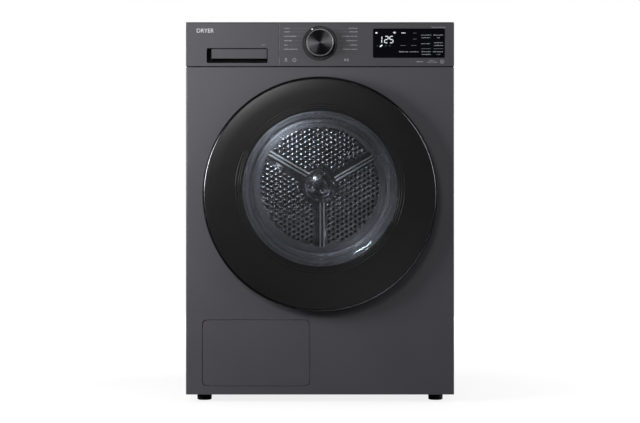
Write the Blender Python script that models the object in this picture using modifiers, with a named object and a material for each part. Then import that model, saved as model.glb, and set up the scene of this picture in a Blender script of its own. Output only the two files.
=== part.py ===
"""Free-standing heat-pump clothes dryer, 600 x 850 x 690 mm, as an assembly of separate pieces.

Frame: +Z up, the front faces -Y, +X is to the right seen from the front.
The origin is on the floor, under the centre of the bounding box. Units are metres.
"""

from math import acos, atan2, cos, hypot, pi, radians, sin

import bmesh
import bpy
from mathutils import Vector

# ---------------------------------------------------------------- driving dimensions
WIDTH = 0.600
HEIGHT = 0.850
DEPTH = 0.690  # door and rear duct cover included
FRONT = -0.300  # front face of the cabinet
DOOR_FRONT = -DEPTH / 2
REAR = DEPTH / 2
REAR_PANEL = 0.320  # outer face of the rear panel
GAP = 0.0003  # between touching pieces
SHEET = 0.0015  # sheet metal
PLASTIC = 0.0025  # moulded walls
HALF = WIDTH / 2

CABINET_BOTTOM = 0.017
TOP_PLATE = 0.0025
PANEL_SEAM = 0.750  # between the front panel and the control panel
SEAM = 0.0010  # half the visible gap at a seam
DRAWER_SEAM = -0.0913  # between the water drawer and the control fascia
DRAWER_GAP = 0.0004  # half the gap there
FASCIA_DEPTH = 0.0205
PANEL_EDGE = 0.0006  # rounding of the upright edges of the control fascia and the drawer's front
FRONT_PANEL_DEPTH = 0.021

DOOR_CENTRE = 0.4648
DOOR_RADIUS = 0.2614
WINDOW_CENTRE = 0.4776  # the glass bowl and the door opening share this axis
WINDOW_RADIUS = 0.178
OPENING_RADIUS = 0.196
HINGE = Vector((0.243, -0.326, DOOR_CENTRE))
HINGE_EAR = 0.044  # height of each ear above and below the hinge's centre
HOOK = Vector((-0.2135, FRONT, DOOR_CENTRE))

DRUM_AXIS = 0.491
DRUM_RADIUS = 0.280
DRUM_FRONT = -0.2365
DRUM_BACK = 0.2615
DRUM_WALL = 0.2555  # front face of the drum's rear wall
LIFTER_ANGLES = (90, 210, 330)
ROLLER_RADIUS = 0.022
ROLLER_ANGLE = 35  # either side of straight down
BULKHEAD = -0.249  # front face of the front bulkhead's plate
REAR_BULKHEAD = 0.276
BEARING_RADIUS = 0.021
SHAFT_RADIUS = 0.010

KNOB = Vector((0.0, FRONT, 0.8025))
KNOB_RADIUS = 0.030
BEZEL_RADIUS = 0.0385
DISPLAY = ((0.1186, 0.7702), (0.2792, 0.8354))  # lower left and upper right, in x and z
POCKET = ((-0.2535, 0.7585), (-0.1170, 0.7920))  # the drawer's finger pocket
TANK = ((-0.288, -0.262, 0.768), (-0.104, 0.230, 0.833))

FLAP = ((-0.2638, 0.0358), (-0.0226, 0.1846))  # the service opening, in x and z
FLAP_CORNER = 0.011
FLAP_PIN = Vector((-0.2470, -0.2950, 0.110))

FOOT_X, FOOT_FRONT, FOOT_REAR = 0.262, -0.240, 0.270
FOOT_RADIUS = 0.0165
BASE_FLOOR = (0.018, 0.022)

MOTOR = Vector((0.205, 0.0, 0.125))
PULLEY_RADIUS = 0.011
BELT_PLANE = 0.027
BELT_WIDTH = 0.013
BELT_THICKNESS = 0.004
BELT_GAP = 0.0007  # under the belt, so that its flats clear the drum between their ends
IDLER_RADIUS = 0.018
FAN = Vector((-0.160, 0.0, 0.120))

LARGE_STEPS = 48  # facets round a large ring
SMALL_STEPS = 24

# ---------------------------------------------------------------- scene and helpers
for old in list(bpy.data.objects):
    bpy.data.objects.remove(old)

dryer = bpy.data.collections.new("clothes_dryer")
helpers = bpy.data.collections.new("cutters")
bpy.context.scene.collection.children.link(dryer)
bpy.context.scene.collection.children.link(helpers)


def material(name, colour, roughness=0.5, metallic=0.0, alpha=1.0):
    made = bpy.data.materials.new(name)
    made.use_nodes = True
    shader = made.node_tree.nodes["Principled BSDF"]
    shader.inputs["Base Color"].default_value = (*colour, 1.0)
    shader.inputs["Roughness"].default_value = roughness
    shader.inputs["Metallic"].default_value = metallic
    shader.inputs["Alpha"].default_value = alpha
    return made


GREY_PAINT = material("grey_paint", (0.085, 0.084, 0.090), 0.42, 0.35)
FASCIA_PAINT = material("fascia_paint", (0.088, 0.087, 0.092), 0.40, 0.35)
BLACK_PLASTIC = material("black_plastic", (0.012, 0.012, 0.014), 0.35)
DARK_TRIM = material("dark_trim", (0.020, 0.020, 0.022), 0.22, 0.6)
TINTED_GLASS = material("tinted_glass", (0.010, 0.010, 0.011), 0.05, 0.0, 0.6)
CLEAR_GLASS = material("clear_glass", (0.80, 0.84, 0.86), 0.03, 0.0, 0.3)
CHROME = material("chrome", (0.80, 0.80, 0.82), 0.12, 1.0)
RUBBER = material("rubber", (0.015, 0.015, 0.016), 0.75)
FELT = material("felt", (0.30, 0.29, 0.27), 0.95)
STAINLESS = material("stainless", (0.42, 0.43, 0.46), 0.28, 1.0)
STEEL = material("steel", (0.45, 0.46, 0.47), 0.40, 1.0)
ALUMINIUM = material("aluminium", (0.60, 0.61, 0.62), 0.45, 1.0)
GREY_PLASTIC = material("grey_plastic", (0.16, 0.16, 0.17), 0.55)
PALE_PLASTIC = material("pale_plastic", (0.55, 0.56, 0.57), 0.50)
BOARD_GREEN = material("board_green", (0.03, 0.13, 0.07), 0.45)


def joint(name, place):
    """An empty on a joint's axis, which its moving pieces are parented to."""
    empty = bpy.data.objects.new(name, None)
    empty.location = place
    dryer.objects.link(empty)
    return empty


def add(name, mesh_or_curve, place, finish=None, parent=None):
    """Puts a piece in the assembly at a place in the object's frame. Without a finish it is a cutter."""
    piece = bpy.data.objects.new(name, mesh_or_curve)
    piece.location = Vector(place)
    if parent:
        piece.parent = parent
        piece.location = Vector(place) - parent.location
    if finish:
        dryer.objects.link(piece)
        mesh_or_curve.materials.append(finish)
    else:
        helpers.objects.link(piece)
        piece.hide_render = True
        piece.display_type = "WIRE"
    return piece


def box(name, low, high, finish=None, parent=None, corner=0.0, along=1, segments=4):
    """A box between two corners. Its edges along one axis (0, 1, 2 for X, Y, Z) can have a corner radius."""
    low, high = Vector(low), Vector(high)
    bm = bmesh.new()
    bmesh.ops.create_cube(bm, size=1.0)
    bmesh.ops.scale(bm, vec=high - low, verts=bm.verts)
    if corner:
        edges = [e for e in bm.edges if abs((e.verts[0].co - e.verts[1].co).normalized()[along]) > 0.99]
        bmesh.ops.bevel(bm, geom=edges, offset=corner, segments=segments, affect="EDGES", profile=0.5)
    mesh = bpy.data.meshes.new(name)
    bm.to_mesh(mesh)
    bm.free()
    return add(name, mesh, (low + high) / 2, finish, parent)


def cylinder(name, centre, radius, start, end, along="Y", finish=None, parent=None, steps=SMALL_STEPS):
    """A cylinder from start to end along Y or Z, through the centre's other two coordinates."""
    bm = bmesh.new()
    bmesh.ops.create_cone(
        bm, cap_ends=True, segments=steps, radius1=radius, radius2=radius, depth=end - start
    )
    mesh = bpy.data.meshes.new(name)
    bm.to_mesh(mesh)
    bm.free()
    middle = (start + end) / 2
    place = (centre[0], middle, centre[2]) if along == "Y" else (centre[0], centre[1], middle)
    piece = add(name, mesh, place, finish, parent)
    if along == "Y":
        piece.rotation_euler.x = pi / 2
    return piece


def turned(name, centre, profile, along="Y", finish=None, parent=None, steps=LARGE_STEPS):
    """A profile of (radius, distance along the axis) turned round an axis along Y or Z.

    Its outer side runs from the front to the rear along Y, or from the top down along Z.
    A profile that starts and ends on the axis is left open there; any other is a closed ring.
    """
    sign = -1 if along == "Y" else 1
    bm = bmesh.new()
    points = [bm.verts.new((radius, 0.0, sign * distance)) for radius, distance in profile]
    on_axis = profile[0][0] == 0 and profile[-1][0] == 0
    for first, second in zip(points, points[1:] if on_axis else points[1:] + points[:1]):
        bm.edges.new((first, second))
    mesh = bpy.data.meshes.new(name)
    bm.to_mesh(mesh)
    bm.free()
    place = (centre[0], 0.0, centre[2]) if along == "Y" else (centre[0], centre[1], 0.0)
    piece = add(name, mesh, place, finish, parent)
    if along == "Y":
        piece.rotation_euler.x = pi / 2
    screw = piece.modifiers.new("turn", "SCREW")
    screw.steps = screw.render_steps = steps
    screw.use_merge_vertices = True
    screw.merge_threshold = 0.00001
    screw.use_smooth_shade = True
    return piece


def combine(piece, others, operation):
    for other in others:
        boolean = piece.modifiers.new(f"{operation.lower()}_{other.name}", "BOOLEAN")
        boolean.operation = operation
        boolean.object = other
        boolean.solver = "EXACT"
    return piece


def cut(piece, *others):
    return combine(piece, others, "DIFFERENCE")


def fuse(piece, *others):
    return combine(piece, others, "UNION")


def polar(centre_x, centre_z, radius, angle):
    """A point on a circle in the XZ plane, its angle in degrees from +X towards +Z."""
    return centre_x + radius * cos(radians(angle)), centre_z + radius * sin(radians(angle))


# ---------------------------------------------------------------- cabinet
def pan(name, low, high, wall, finish, parent=None, corner=0.003):
    """A sheet with a rim all round, open towards the rear, its two upright edges rounded."""
    (x0, y0, z0), (x1, y1, z1) = low, high
    piece = box(name, low, high, finish, parent, corner=corner, along=2, segments=2)
    inside = box(
        name + "_inside",
        (x0 + wall, y0 + wall, z0 + wall),
        (x1 - wall, y1 + 0.02, z1 - wall),
        parent=parent,
    )
    return cut(piece, inside)


def build_base():
    floor_low, floor_high = BASE_FLOOR
    base = box("base_tray", (-0.297, -0.2763, floor_low), (0.297, 0.316, 0.075), BLACK_PLASTIC)
    cut(base, box("base_inside", (-0.2935, -0.2728, floor_high), (0.2935, 0.3125, 0.10)))
    (x0, z0), (x1, _) = FLAP
    cut(base, box("service_notch", (x0 - 0.004, -0.30, z0 - 0.004), (x1 + 0.004, -0.26, 0.10)))
    bosses, holes = [], []
    for side in (-1, 1):
        for depth in (FOOT_FRONT, FOOT_REAR):
            centre = (side * FOOT_X, depth, 0)
            bosses.append(cylinder("foot_boss", centre, 0.012, floor_low + 0.001, 0.052, "Z", steps=12))
            holes.append(cylinder("foot_bore", centre, 0.0052, 0.0, 0.060, "Z", steps=12))
    fuse(base, *bosses)
    cut(base, *holes)


def build_feet():
    """Four levelling feet, screwed fully in: pad, lock nut and stud in one."""
    stud, nut = 0.0046, 0.008
    profile = [
        (0, 0.048),
        (stud, 0.048),
        (stud, BASE_FLOOR[0] - GAP),
        (nut, BASE_FLOOR[0] - GAP),
        (nut, 0.0125),
        (FOOT_RADIUS - 0.001, 0.0125),
        (FOOT_RADIUS, 0.0110),
        (FOOT_RADIUS, 0.0015),
        (FOOT_RADIUS - 0.0015, 0.0),
        (0, 0.0),
    ]
    for end, depth in (("front", FOOT_FRONT), ("rear", FOOT_REAR)):
        for side, sign in (("left", -1), ("right", 1)):
            place = Vector((sign * FOOT_X, depth, 0.0))
            slide = joint(f"foot_{end}_{side}_slide", place)
            turned(f"foot_{end}_{side}", place, profile, "Z", RUBBER, slide, steps=16)


def build_shell():
    """Side panels, rear panel with its round duct cover, and the top."""
    bottom, top = CABINET_BOTTOM + 0.002, HEIGHT - TOP_PLATE - 0.001
    front, rear = FRONT + FRONT_PANEL_DEPTH + 0.0005, REAR_PANEL - 0.002
    flange = 0.0095
    for side, sign in (("left", -1), ("right", 1)):
        outer, inner, lip = sign * HALF, sign * (HALF - SHEET), sign * (HALF - flange)
        low, high = min(outer, lip), max(outer, lip)
        panel = box(f"side_panel_{side}", (low, front, bottom), (high, rear, top), GREY_PAINT)
        room = box(
            f"side_{side}_inside",
            (min(inner, sign * 0.2), front + SHEET, bottom - 0.01),
            (max(inner, sign * 0.2), rear - SHEET, top + 0.01),
        )
        cut(panel, room)

    rear_panel = box("rear_panel", (-0.2975, REAR_PANEL - SHEET, bottom), (0.2975, REAR_PANEL, top), GREY_PAINT)
    cut(rear_panel, cylinder("duct_hole", (0, 0, DRUM_AXIS), 0.195, 0.30, 0.34, steps=LARGE_STEPS))
    slots = [
        box("vent_slot", (0.06, 0.31, z), (0.20, 0.33, z + 0.006), corner=0.0028, segments=2)
        for z in (0.060 + 0.014 * row for row in range(6))
    ]
    cut(rear_panel, *slots)

    outside = REAR_PANEL + GAP
    turned(
        "rear_duct_cover",
        (0, 0, DRUM_AXIS),
        [
            (0.198, REAR - SHEET),
            (0.212, outside + SHEET),
            (0.232, outside + SHEET),
            (0.232, outside),
            (0.210, outside),
            (0.196, REAR - 2 * SHEET),
            (0, REAR - 2 * SHEET),
            (0, REAR),
            (0.194, REAR),
        ][::-1],
        finish=STEEL,
    )

    cover = box(
        "top_cover",
        (-HALF, FRONT, HEIGHT - TOP_PLATE),
        (HALF, REAR_PANEL, HEIGHT),
        GREY_PAINT,
        corner=0.004,
        along=2,
    )
    core = box("top_core", (-0.290, -0.275, HEIGHT - 0.0115), (0.290, 0.310, HEIGHT - 0.001))
    fuse(cover, core)


def build_front_panel():
    """The painted front with the door opening, the service opening and the latch slot."""
    panel = pan(
        "front_panel",
        (-HALF, FRONT, CABINET_BOTTOM),
        (HALF, FRONT + FRONT_PANEL_DEPTH, PANEL_SEAM - SEAM),
        SHEET,
        GREY_PAINT,
    )
    (x0, z0), (x1, z1) = FLAP
    opening = cylinder(
        "door_opening", (0, 0, WINDOW_CENTRE), OPENING_RADIUS, FRONT - 0.02, FRONT + 0.012, steps=LARGE_STEPS
    )
    service = box("service_opening", (x0, FRONT - 0.02, z0), (x1, FRONT + 0.012, z1), corner=FLAP_CORNER)
    slot = box(
        "latch_slot",
        (HOOK.x - 0.0125, FRONT - 0.02, HOOK.z - 0.016),
        (HOOK.x + 0.0125, FRONT + 0.012, HOOK.z + 0.016),
    )
    cut(panel, opening, service, slot)

    latch = box(
        "door_latch_housing",
        (HOOK.x - 0.0225, FRONT + SHEET + GAP, HOOK.z - 0.034),
        (HOOK.x + 0.0175, FRONT + 0.032, HOOK.z + 0.034),
        GREY_PLASTIC,
    )
    mouth = box(
        "latch_mouth",
        (HOOK.x - 0.0125, FRONT - 0.01, HOOK.z - 0.016),
        (HOOK.x + 0.0125, FRONT + 0.0285, HOOK.z + 0.016),
    )
    cut(latch, mouth)


# ---------------------------------------------------------------- control panel
def build_fascia():
    low = (DRAWER_SEAM + DRAWER_GAP, FRONT, PANEL_SEAM + 0.0015)
    high = (HALF, FRONT + FASCIA_DEPTH, HEIGHT - TOP_PLATE - 0.0005)
    fascia = pan("control_fascia", low, high, 0.0035, FASCIA_PAINT, corner=PANEL_EDGE)
    boss = cylinder("bezel_boss", KNOB, BEZEL_RADIUS + 0.004, FRONT + 0.001, FRONT + 0.0095, steps=32)
    recess = cylinder("bezel_recess", KNOB, BEZEL_RADIUS + 0.0005, FRONT - 0.01, FRONT + 0.0065, steps=32)
    shaft_hole = cylinder("shaft_hole", KNOB, 0.0060, FRONT - 0.01, FRONT + 0.02, steps=16)
    (x0, z0), (x1, z1) = DISPLAY
    window = box(
        "display_recess",
        (x0 - GAP, FRONT - 0.01, z0 - GAP),
        (x1 + GAP, FRONT + 0.0020, z1 + GAP),
        corner=0.003,
    )
    fuse(fascia, boss)
    cut(fascia, recess, shaft_hole, window)

    box(
        "display_glass",
        (x0, FRONT - GAP, z0),
        (x1, FRONT + 0.0020 - GAP, z1),
        TINTED_GLASS,
        corner=0.003,
    )
    turned(
        "knob_bezel",
        KNOB,
        [
            (BEZEL_RADIUS, FRONT - 0.0004),
            (BEZEL_RADIUS, FRONT + 0.0065 - GAP),
            (0.0335, FRONT + 0.0065 - GAP),
            (0.0335, FRONT + 0.0015),
            (0.0345, FRONT - 0.0004),
        ],
        finish=GREY_PLASTIC,
        steps=32,
    )
    board = box("control_board", (-0.075, -0.2700, 0.765), (0.285, -0.2680, 0.836), BOARD_GREEN)
    encoder = box(
        "encoder", (KNOB.x - 0.008, -0.2795, KNOB.z - 0.008), (KNOB.x + 0.008, -0.2690, KNOB.z + 0.008)
    )
    display_block = box("display_block", (0.124, -0.2830, 0.776), (0.274, -0.2690, 0.830))
    fuse(board, encoder, display_block)


def build_knob():
    """The programme knob: body with its shaft, and the bright ring round its face."""
    turn = joint("knob_turn", KNOB)
    face = KNOB.y - 0.0235
    turned(
        "knob_body",
        KNOB,
        [
            (0, face),
            (KNOB_RADIUS - 0.0030, face),
            (KNOB_RADIUS - 0.0030, face + 0.0045),
            (KNOB_RADIUS - 0.0008, face + 0.0045),
            (KNOB_RADIUS + 0.0005, FRONT + 0.0040),
            (0.0030, FRONT + 0.0040),
            (0.0030, -0.2800),
            (0, -0.2800),
        ],
        finish=BLACK_PLASTIC,
        parent=turn,
        steps=32,
    )
    turned(
        "knob_trim_ring",
        KNOB,
        [
            (KNOB_RADIUS - 0.0002, face - 0.0010),
            (KNOB_RADIUS, face + 0.0042),
            (KNOB_RADIUS - 0.0027, face + 0.0042),
            (KNOB_RADIUS - 0.0027, face - 0.0010),
        ],
        finish=CHROME,
        parent=turn,
        steps=32,
    )


# ---------------------------------------------------------------- water drawer
def build_drawer():
    """The drawer front with its hooked finger pocket, and the condensate tank behind it."""
    slide = joint("tank_slide", (-0.196, FRONT, 0.800))
    low = (-HALF, FRONT, PANEL_SEAM + 0.0015)
    high = (DRAWER_SEAM - DRAWER_GAP, FRONT + FASCIA_DEPTH, HEIGHT - TOP_PLATE - 0.0005)
    front = pan("tank_front", low, high, 0.0030, FASCIA_PAINT, slide, PANEL_EDGE)
    (x0, z0), (x1, z1) = POCKET
    wall, back = PLASTIC, FRONT + 0.0315
    cup = box(
        "pocket_cup", (x0 - wall, FRONT + 0.002, z0 - wall), (x1 + wall, back + wall, z1 + wall), parent=slide
    )
    neck = box("tank_neck", (-0.280, FRONT + 0.002, 0.798), (-0.110, TANK[0][1] - GAP, 0.828), parent=slide)
    room = box("pocket_room", (x0, FRONT - 0.01, z0), (x1, back, z1), parent=slide, corner=0.003, segments=2)
    grip = box("grip_plate", (x0 + 0.0105, FRONT + 0.007, 0.7692), (x1 + 0.001, FRONT + 0.0095, z1 + 0.001),
               parent=slide)
    fuse(front, cup, neck)
    cut(front, room)
    fuse(front, grip)

    (tx0, ty0, tz0), (tx1, ty1, tz1) = TANK
    tank = box("tank_body", TANK[0], TANK[1], PALE_PLASTIC, slide, corner=0.008, along=2, segments=2)
    hollow = box(
        "tank_hollow",
        (tx0 + PLASTIC, ty0 + PLASTIC, tz0 + PLASTIC),
        (tx1 - PLASTIC, ty1 - PLASTIC, tz1 + 0.02),
        parent=slide,
        corner=0.006,
        along=2,
        segments=2,
    )
    cut(tank, hollow)
    cover = box(
        "tank_cover",
        (tx0, ty0, tz1 + GAP),
        (tx1, ty1, tz1 + 0.0028),
        PALE_PLASTIC,
        slide,
        corner=0.008,
        along=2,
        segments=2,
    )
    cut(cover, cylinder("pour_hole", (-0.140, -0.205, 0), 0.022, 0.82, 0.85, "Z", parent=slide, steps=16))

    guide = box("tank_guide", (-0.2935, -0.262, 0.7640), (-0.0985, 0.262, 0.800), PALE_PLASTIC)
    cut(guide, box("guide_room", (-0.2910, -0.30, 0.7665), (-0.1010, 0.30, 0.82)))


# ---------------------------------------------------------------- service flap
def build_flap():
    """A flush flap over the heat exchanger, hinged on its left edge."""
    swing = joint("flap_hinge", FLAP_PIN)
    (x0, z0), (x1, z1) = FLAP
    gap = 0.0008
    flap = box(
        "service_flap",
        (x0 + 0.0012, FRONT, z0 + gap),
        (x1 - gap, FRONT + PLASTIC, z1 - gap),
        GREY_PAINT,
        swing,
        corner=FLAP_CORNER,
    )
    for z in (0.048, 0.110, 0.172):
        lug = box(
            "flap_lug",
            (FLAP_PIN.x - 0.0022, FRONT + 0.001, z - 0.008),
            (FLAP_PIN.x + 0.0022, FLAP_PIN.y + 0.0010, z + 0.008),
            parent=swing,
        )
        fuse(flap, lug)
    fuse(flap, cylinder("flap_pin", FLAP_PIN, 0.0015, 0.0290, 0.1914, "Z", parent=swing, steps=12))
    catch = box("flap_catch", (x1 - 0.016, FRONT + 0.001, 0.104), (x1 - 0.013, FRONT + 0.011, 0.116), parent=swing)
    fuse(flap, catch)

    back = FRONT + SHEET + GAP
    bracket = box(
        "flap_hinge_bracket",
        (x0 - 0.014, back, z0 - 0.009),
        (x0 - 0.003, back + 0.0020, z1 + 0.009),
        STEEL,
    )
    sockets = [
        box("pin_socket", (x0 - 0.013, back, z), (FLAP_PIN.x + 0.004, FLAP_PIN.y + 0.0040, z + 0.0075))
        for z in (z0 - 0.0088, z1 + 0.0013)
    ]
    fuse(bracket, *sockets)
    cut(bracket, cylinder("socket_bore", FLAP_PIN, 0.0019, 0.010, 0.210, "Z", steps=12))


# ---------------------------------------------------------------- door
def build_door():
    """Tinted cover, rim, hollow black frame, back frame, glass bowl, seal, hinge leaf and hook."""
    swing = joint("door_hinge", HINGE)
    centre = (0, 0, DOOR_CENTRE)
    window = (0, 0, WINDOW_CENTRE)
    frame_radius, frame_front, frame_back = DOOR_RADIUS - 0.0054, FRONT - 0.0390, FRONT - 0.0082
    back_face = FRONT - 0.0040

    turned(
        "door_cover",
        centre,
        [
            (0, DOOR_FRONT),
            (0.150, DOOR_FRONT + 0.0003),
            (0.230, DOOR_FRONT + 0.0012),
            (0.2535, DOOR_FRONT + 0.0027),
            (frame_radius - 0.0002, FRONT - 0.0405),
            (frame_radius - 0.0002, FRONT - 0.0395),
            (0, FRONT - 0.0395),
        ],
        finish=TINTED_GLASS,
        parent=swing,
    )
    rim = turned(
        "door_rim",
        centre,
        [
            (0.2585, FRONT - 0.0418),
            (DOOR_RADIUS, FRONT - 0.0360),
            (DOOR_RADIUS, FRONT - 0.0180),
            (frame_radius + GAP, FRONT - 0.0180),
            (frame_radius + GAP, FRONT - 0.0410),
        ],
        finish=DARK_TRIM,
        parent=swing,
    )
    frame = turned(
        "door_frame",
        centre,
        [
            (0, frame_front),
            (frame_radius, frame_front),
            (frame_radius, FRONT - 0.0180),
            (frame_radius - 0.0035, frame_back),
            (0, frame_back),
        ],
        finish=BLACK_PLASTIC,
        parent=swing,
    )
    wall = 0.003
    through = cylinder(
        "window_hole", window, WINDOW_RADIUS, frame_front - 0.01, FRONT, parent=swing, steps=LARGE_STEPS
    )
    hollow = turned(
        "frame_hollow",
        centre,
        [
            (0, frame_front + wall),
            (frame_radius - wall, frame_front + wall),
            (frame_radius - wall, FRONT - 0.0180),
            (frame_radius - wall - 0.0040, FRONT - 0.004),
            (0, FRONT - 0.004),
        ],
        parent=swing,
    )
    cut(
        hollow,
        cylinder(
            "window_wall",
            window,
            WINDOW_RADIUS + wall,
            frame_front - 0.02,
            FRONT + 0.01,
            parent=swing,
            steps=LARGE_STEPS,
        ),
    )
    cut(frame, hollow, through)

    back_frame = turned(
        "door_back_frame",
        centre,
        [
            (0, frame_back + GAP),
            (frame_radius - 0.0037, frame_back + GAP),
            (frame_radius - 0.0060, back_face),
            (0, back_face),
        ],
        finish=BLACK_PLASTIC,
        parent=swing,
    )
    neck = cylinder(
        "bowl_neck", window, WINDOW_RADIUS - 0.0045, FRONT - 0.02, FRONT + 0.01, parent=swing, steps=LARGE_STEPS
    )
    cut(back_frame, neck)

    # Relief round the hinge: a shallow pocket over the bracket, and a notch for each ear's swing.
    relief = box(
        "hinge_relief",
        (HINGE.x - 0.0130, FRONT - 0.0125, HINGE.z - 0.066),
        (HINGE.x + 0.0270, FRONT + 0.001, HINGE.z + 0.066),
        parent=swing,
    )
    notches = [
        box(
            "ear_notch",
            (HINGE.x - 0.0075, FRONT - 0.0385, HINGE.z + sign * HINGE_EAR - 0.006),
            (HINGE.x + 0.0270, FRONT + 0.001, HINGE.z + sign * HINGE_EAR + 0.006),
            parent=swing,
        )
        for sign in (-1, 1)
    ]
    leaf_room = box(
        "leaf_room",
        (HINGE.x - 0.014, FRONT - 0.0355, HINGE.z - 0.0395),
        (HINGE.x + 0.0095, FRONT + 0.001, HINGE.z + 0.0395),
        parent=swing,
    )
    cut(rim, *notches)
    cut(frame, relief, *notches, leaf_room)
    cut(back_frame, relief, *notches, leaf_room)

    bottom = -0.1890
    turned(
        "door_glass_bowl",
        window,
        [
            (0, bottom - 0.0040),
            (0.1460, bottom - 0.0065),
            (0.1505, bottom - 0.0120),
            (0.1685, FRONT - 0.0120),
            (0.1695, FRONT - 0.0200),
            (0.1772, FRONT - 0.0200),
            (0.1772, FRONT - 0.0083),
            (0.1725, FRONT - 0.0083),
            (0.1545, bottom - 0.0110),
            (0.1490, bottom - 0.0030),
            (0, bottom),
        ],
        finish=CLEAR_GLASS,
        parent=swing,
    )
    turned(
        "door_seal",
        window,
        [
            (0.2050, back_face + GAP),
            (0.2065, FRONT - 0.0015),
            (0.2040, FRONT - GAP),
            (0.2010, FRONT - GAP),
            (0.1995, back_face + GAP),
        ],
        finish=RUBBER,
        parent=swing,
    )

    leaf = box(
        "hinge_leaf",
        (HINGE.x - 0.046, FRONT - 0.0185, HINGE.z - 0.036),
        (HINGE.x - 0.003, FRONT - 0.0150, HINGE.z + 0.036),
        STEEL,
        swing,
    )
    arm = box(
        "leaf_arm",
        (HINGE.x - 0.0125, FRONT - 0.0330, HINGE.z - 0.036),
        (HINGE.x - 0.0020, FRONT - 0.0155, HINGE.z + 0.036),
        parent=swing,
    )
    knuckle = cylinder("hinge_knuckle", HINGE, 0.0070, HINGE.z - 0.036, HINGE.z + 0.036, "Z", parent=swing)
    bore = cylinder("hinge_bore", HINGE, 0.0036, HINGE.z - 0.05, HINGE.z + 0.05, "Z", parent=swing, steps=16)
    fuse(leaf, arm, knuckle)
    cut(leaf, bore)

    hook = box(
        "latch_hook",
        (HOOK.x - 0.0055, back_face + GAP, HOOK.z - 0.009),
        (HOOK.x + 0.0055, FRONT + 0.0240, HOOK.z + 0.009),
        STEEL,
        swing,
    )
    barb = box(
        "hook_barb",
        (HOOK.x - 0.0055, FRONT + 0.0180, HOOK.z - 0.0125),
        (HOOK.x + 0.0055, FRONT + 0.0240, HOOK.z - 0.005),
        parent=swing,
    )
    fuse(hook, barb)


def build_hinge_bracket():
    """The fixed half of the door hinge: a plate on the front panel, two ears and the pin."""
    plate = box(
        "hinge_bracket",
        (HINGE.x - 0.0125, FRONT - 0.0035, HINGE.z - 0.062),
        (HINGE.x + 0.0140, FRONT - GAP, HINGE.z + 0.062),
        STEEL,
        corner=0.003,
        segments=2,
    )
    half_ear = 0.0040
    for sign in (-1, 1):
        z = HINGE.z + sign * HINGE_EAR
        ear = box(
            "hinge_ear",
            (HINGE.x - half_ear, HINGE.y, z - half_ear),
            (HINGE.x + half_ear, FRONT - 0.0020, z + half_ear),
        )
        tip = cylinder("ear_tip", HINGE, half_ear, z - half_ear, z + half_ear, "Z", steps=16)
        fuse(plate, ear, tip)
    reach = HINGE_EAR + half_ear - 0.001
    fuse(plate, cylinder("hinge_pin", HINGE, 0.0030, HINGE.z - reach, HINGE.z + reach, "Z", steps=16))


# ---------------------------------------------------------------- drum
def build_drum():
    spin = joint("drum_spin", (0, 0, DRUM_AXIS))
    centre = (0, 0, DRUM_AXIS)
    inside = DRUM_RADIUS - SHEET
    flange = 0.235
    turned(
        "drum_shell",
        centre,
        [
            (DRUM_RADIUS, DRUM_FRONT),
            (DRUM_RADIUS, DRUM_BACK),
            (inside, DRUM_BACK),
            (inside, DRUM_FRONT + SHEET),
            (flange, DRUM_FRONT + SHEET),
            (flange, DRUM_FRONT),
        ],
        finish=STAINLESS,
        parent=spin,
    )
    wall = turned(
        "drum_rear_wall",
        centre,
        [
            (0, DRUM_WALL - 0.0180),
            (0.020, DRUM_WALL - 0.0165),
            (0.042, DRUM_WALL - 0.0090),
            (0.048, DRUM_WALL),
            (0.160, DRUM_WALL),
            (0.175, DRUM_WALL - 0.006),
            (0.230, DRUM_WALL - 0.006),
            (0.245, DRUM_WALL),
            (inside - 0.0006, DRUM_WALL),
            (inside - 0.0006, DRUM_WALL + SHEET),
            (0, DRUM_WALL + SHEET),
        ],
        finish=STAINLESS,
        parent=spin,
    )
    for angle in (30, 150, 270):
        rib = box("wall_rib", (0.030, DRUM_WALL - 0.0050, -0.008), (0.172, DRUM_WALL + 0.0005, 0.008), parent=spin)
        # The rib's corners are given along +X, so its mesh is shifted to its place and turned about the axis.
        shift = rib.location + spin.location
        for vertex in rib.data.vertices:
            vertex.co += shift
        rib.location = (0, 0, 0)
        rib.rotation_euler.y = -radians(angle)
        fuse(wall, rib)

    for number, angle in enumerate(LIFTER_ANGLES, start=1):
        lifter = box(
            f"drum_lifter_{number}", (-0.035, -0.205, 0.225), (0.035, 0.215, 0.2755), PALE_PLASTIC, spin
        )
        shift = lifter.location + spin.location
        for vertex in lifter.data.vertices:
            vertex.co += shift
            if vertex.co.z < 0.25:  # the crest is narrower and shorter than the foot
                vertex.co.x *= 0.28
                vertex.co.y *= 0.94
        lifter.location = (0, 0, 0)
        lifter.rotation_euler.y = radians(90 - angle)

    turned(
        "drum_shaft",
        centre,
        [
            (0, DRUM_WALL + SHEET + GAP),
            (0.055, DRUM_WALL + SHEET + GAP),
            (0.055, 0.2610),
            (0.016, 0.2660),
            (SHAFT_RADIUS, 0.2700),
            (SHAFT_RADIUS, 0.3050),
            (0, 0.3050),
        ],
        finish=STEEL,
        parent=spin,
        steps=SMALL_STEPS,
    )


def roller_place(sign):
    reach = DRUM_RADIUS + GAP + ROLLER_RADIUS
    x, z = polar(0, DRUM_AXIS, reach, 270 + sign * ROLLER_ANGLE)
    return Vector((x, 0, z))


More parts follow.
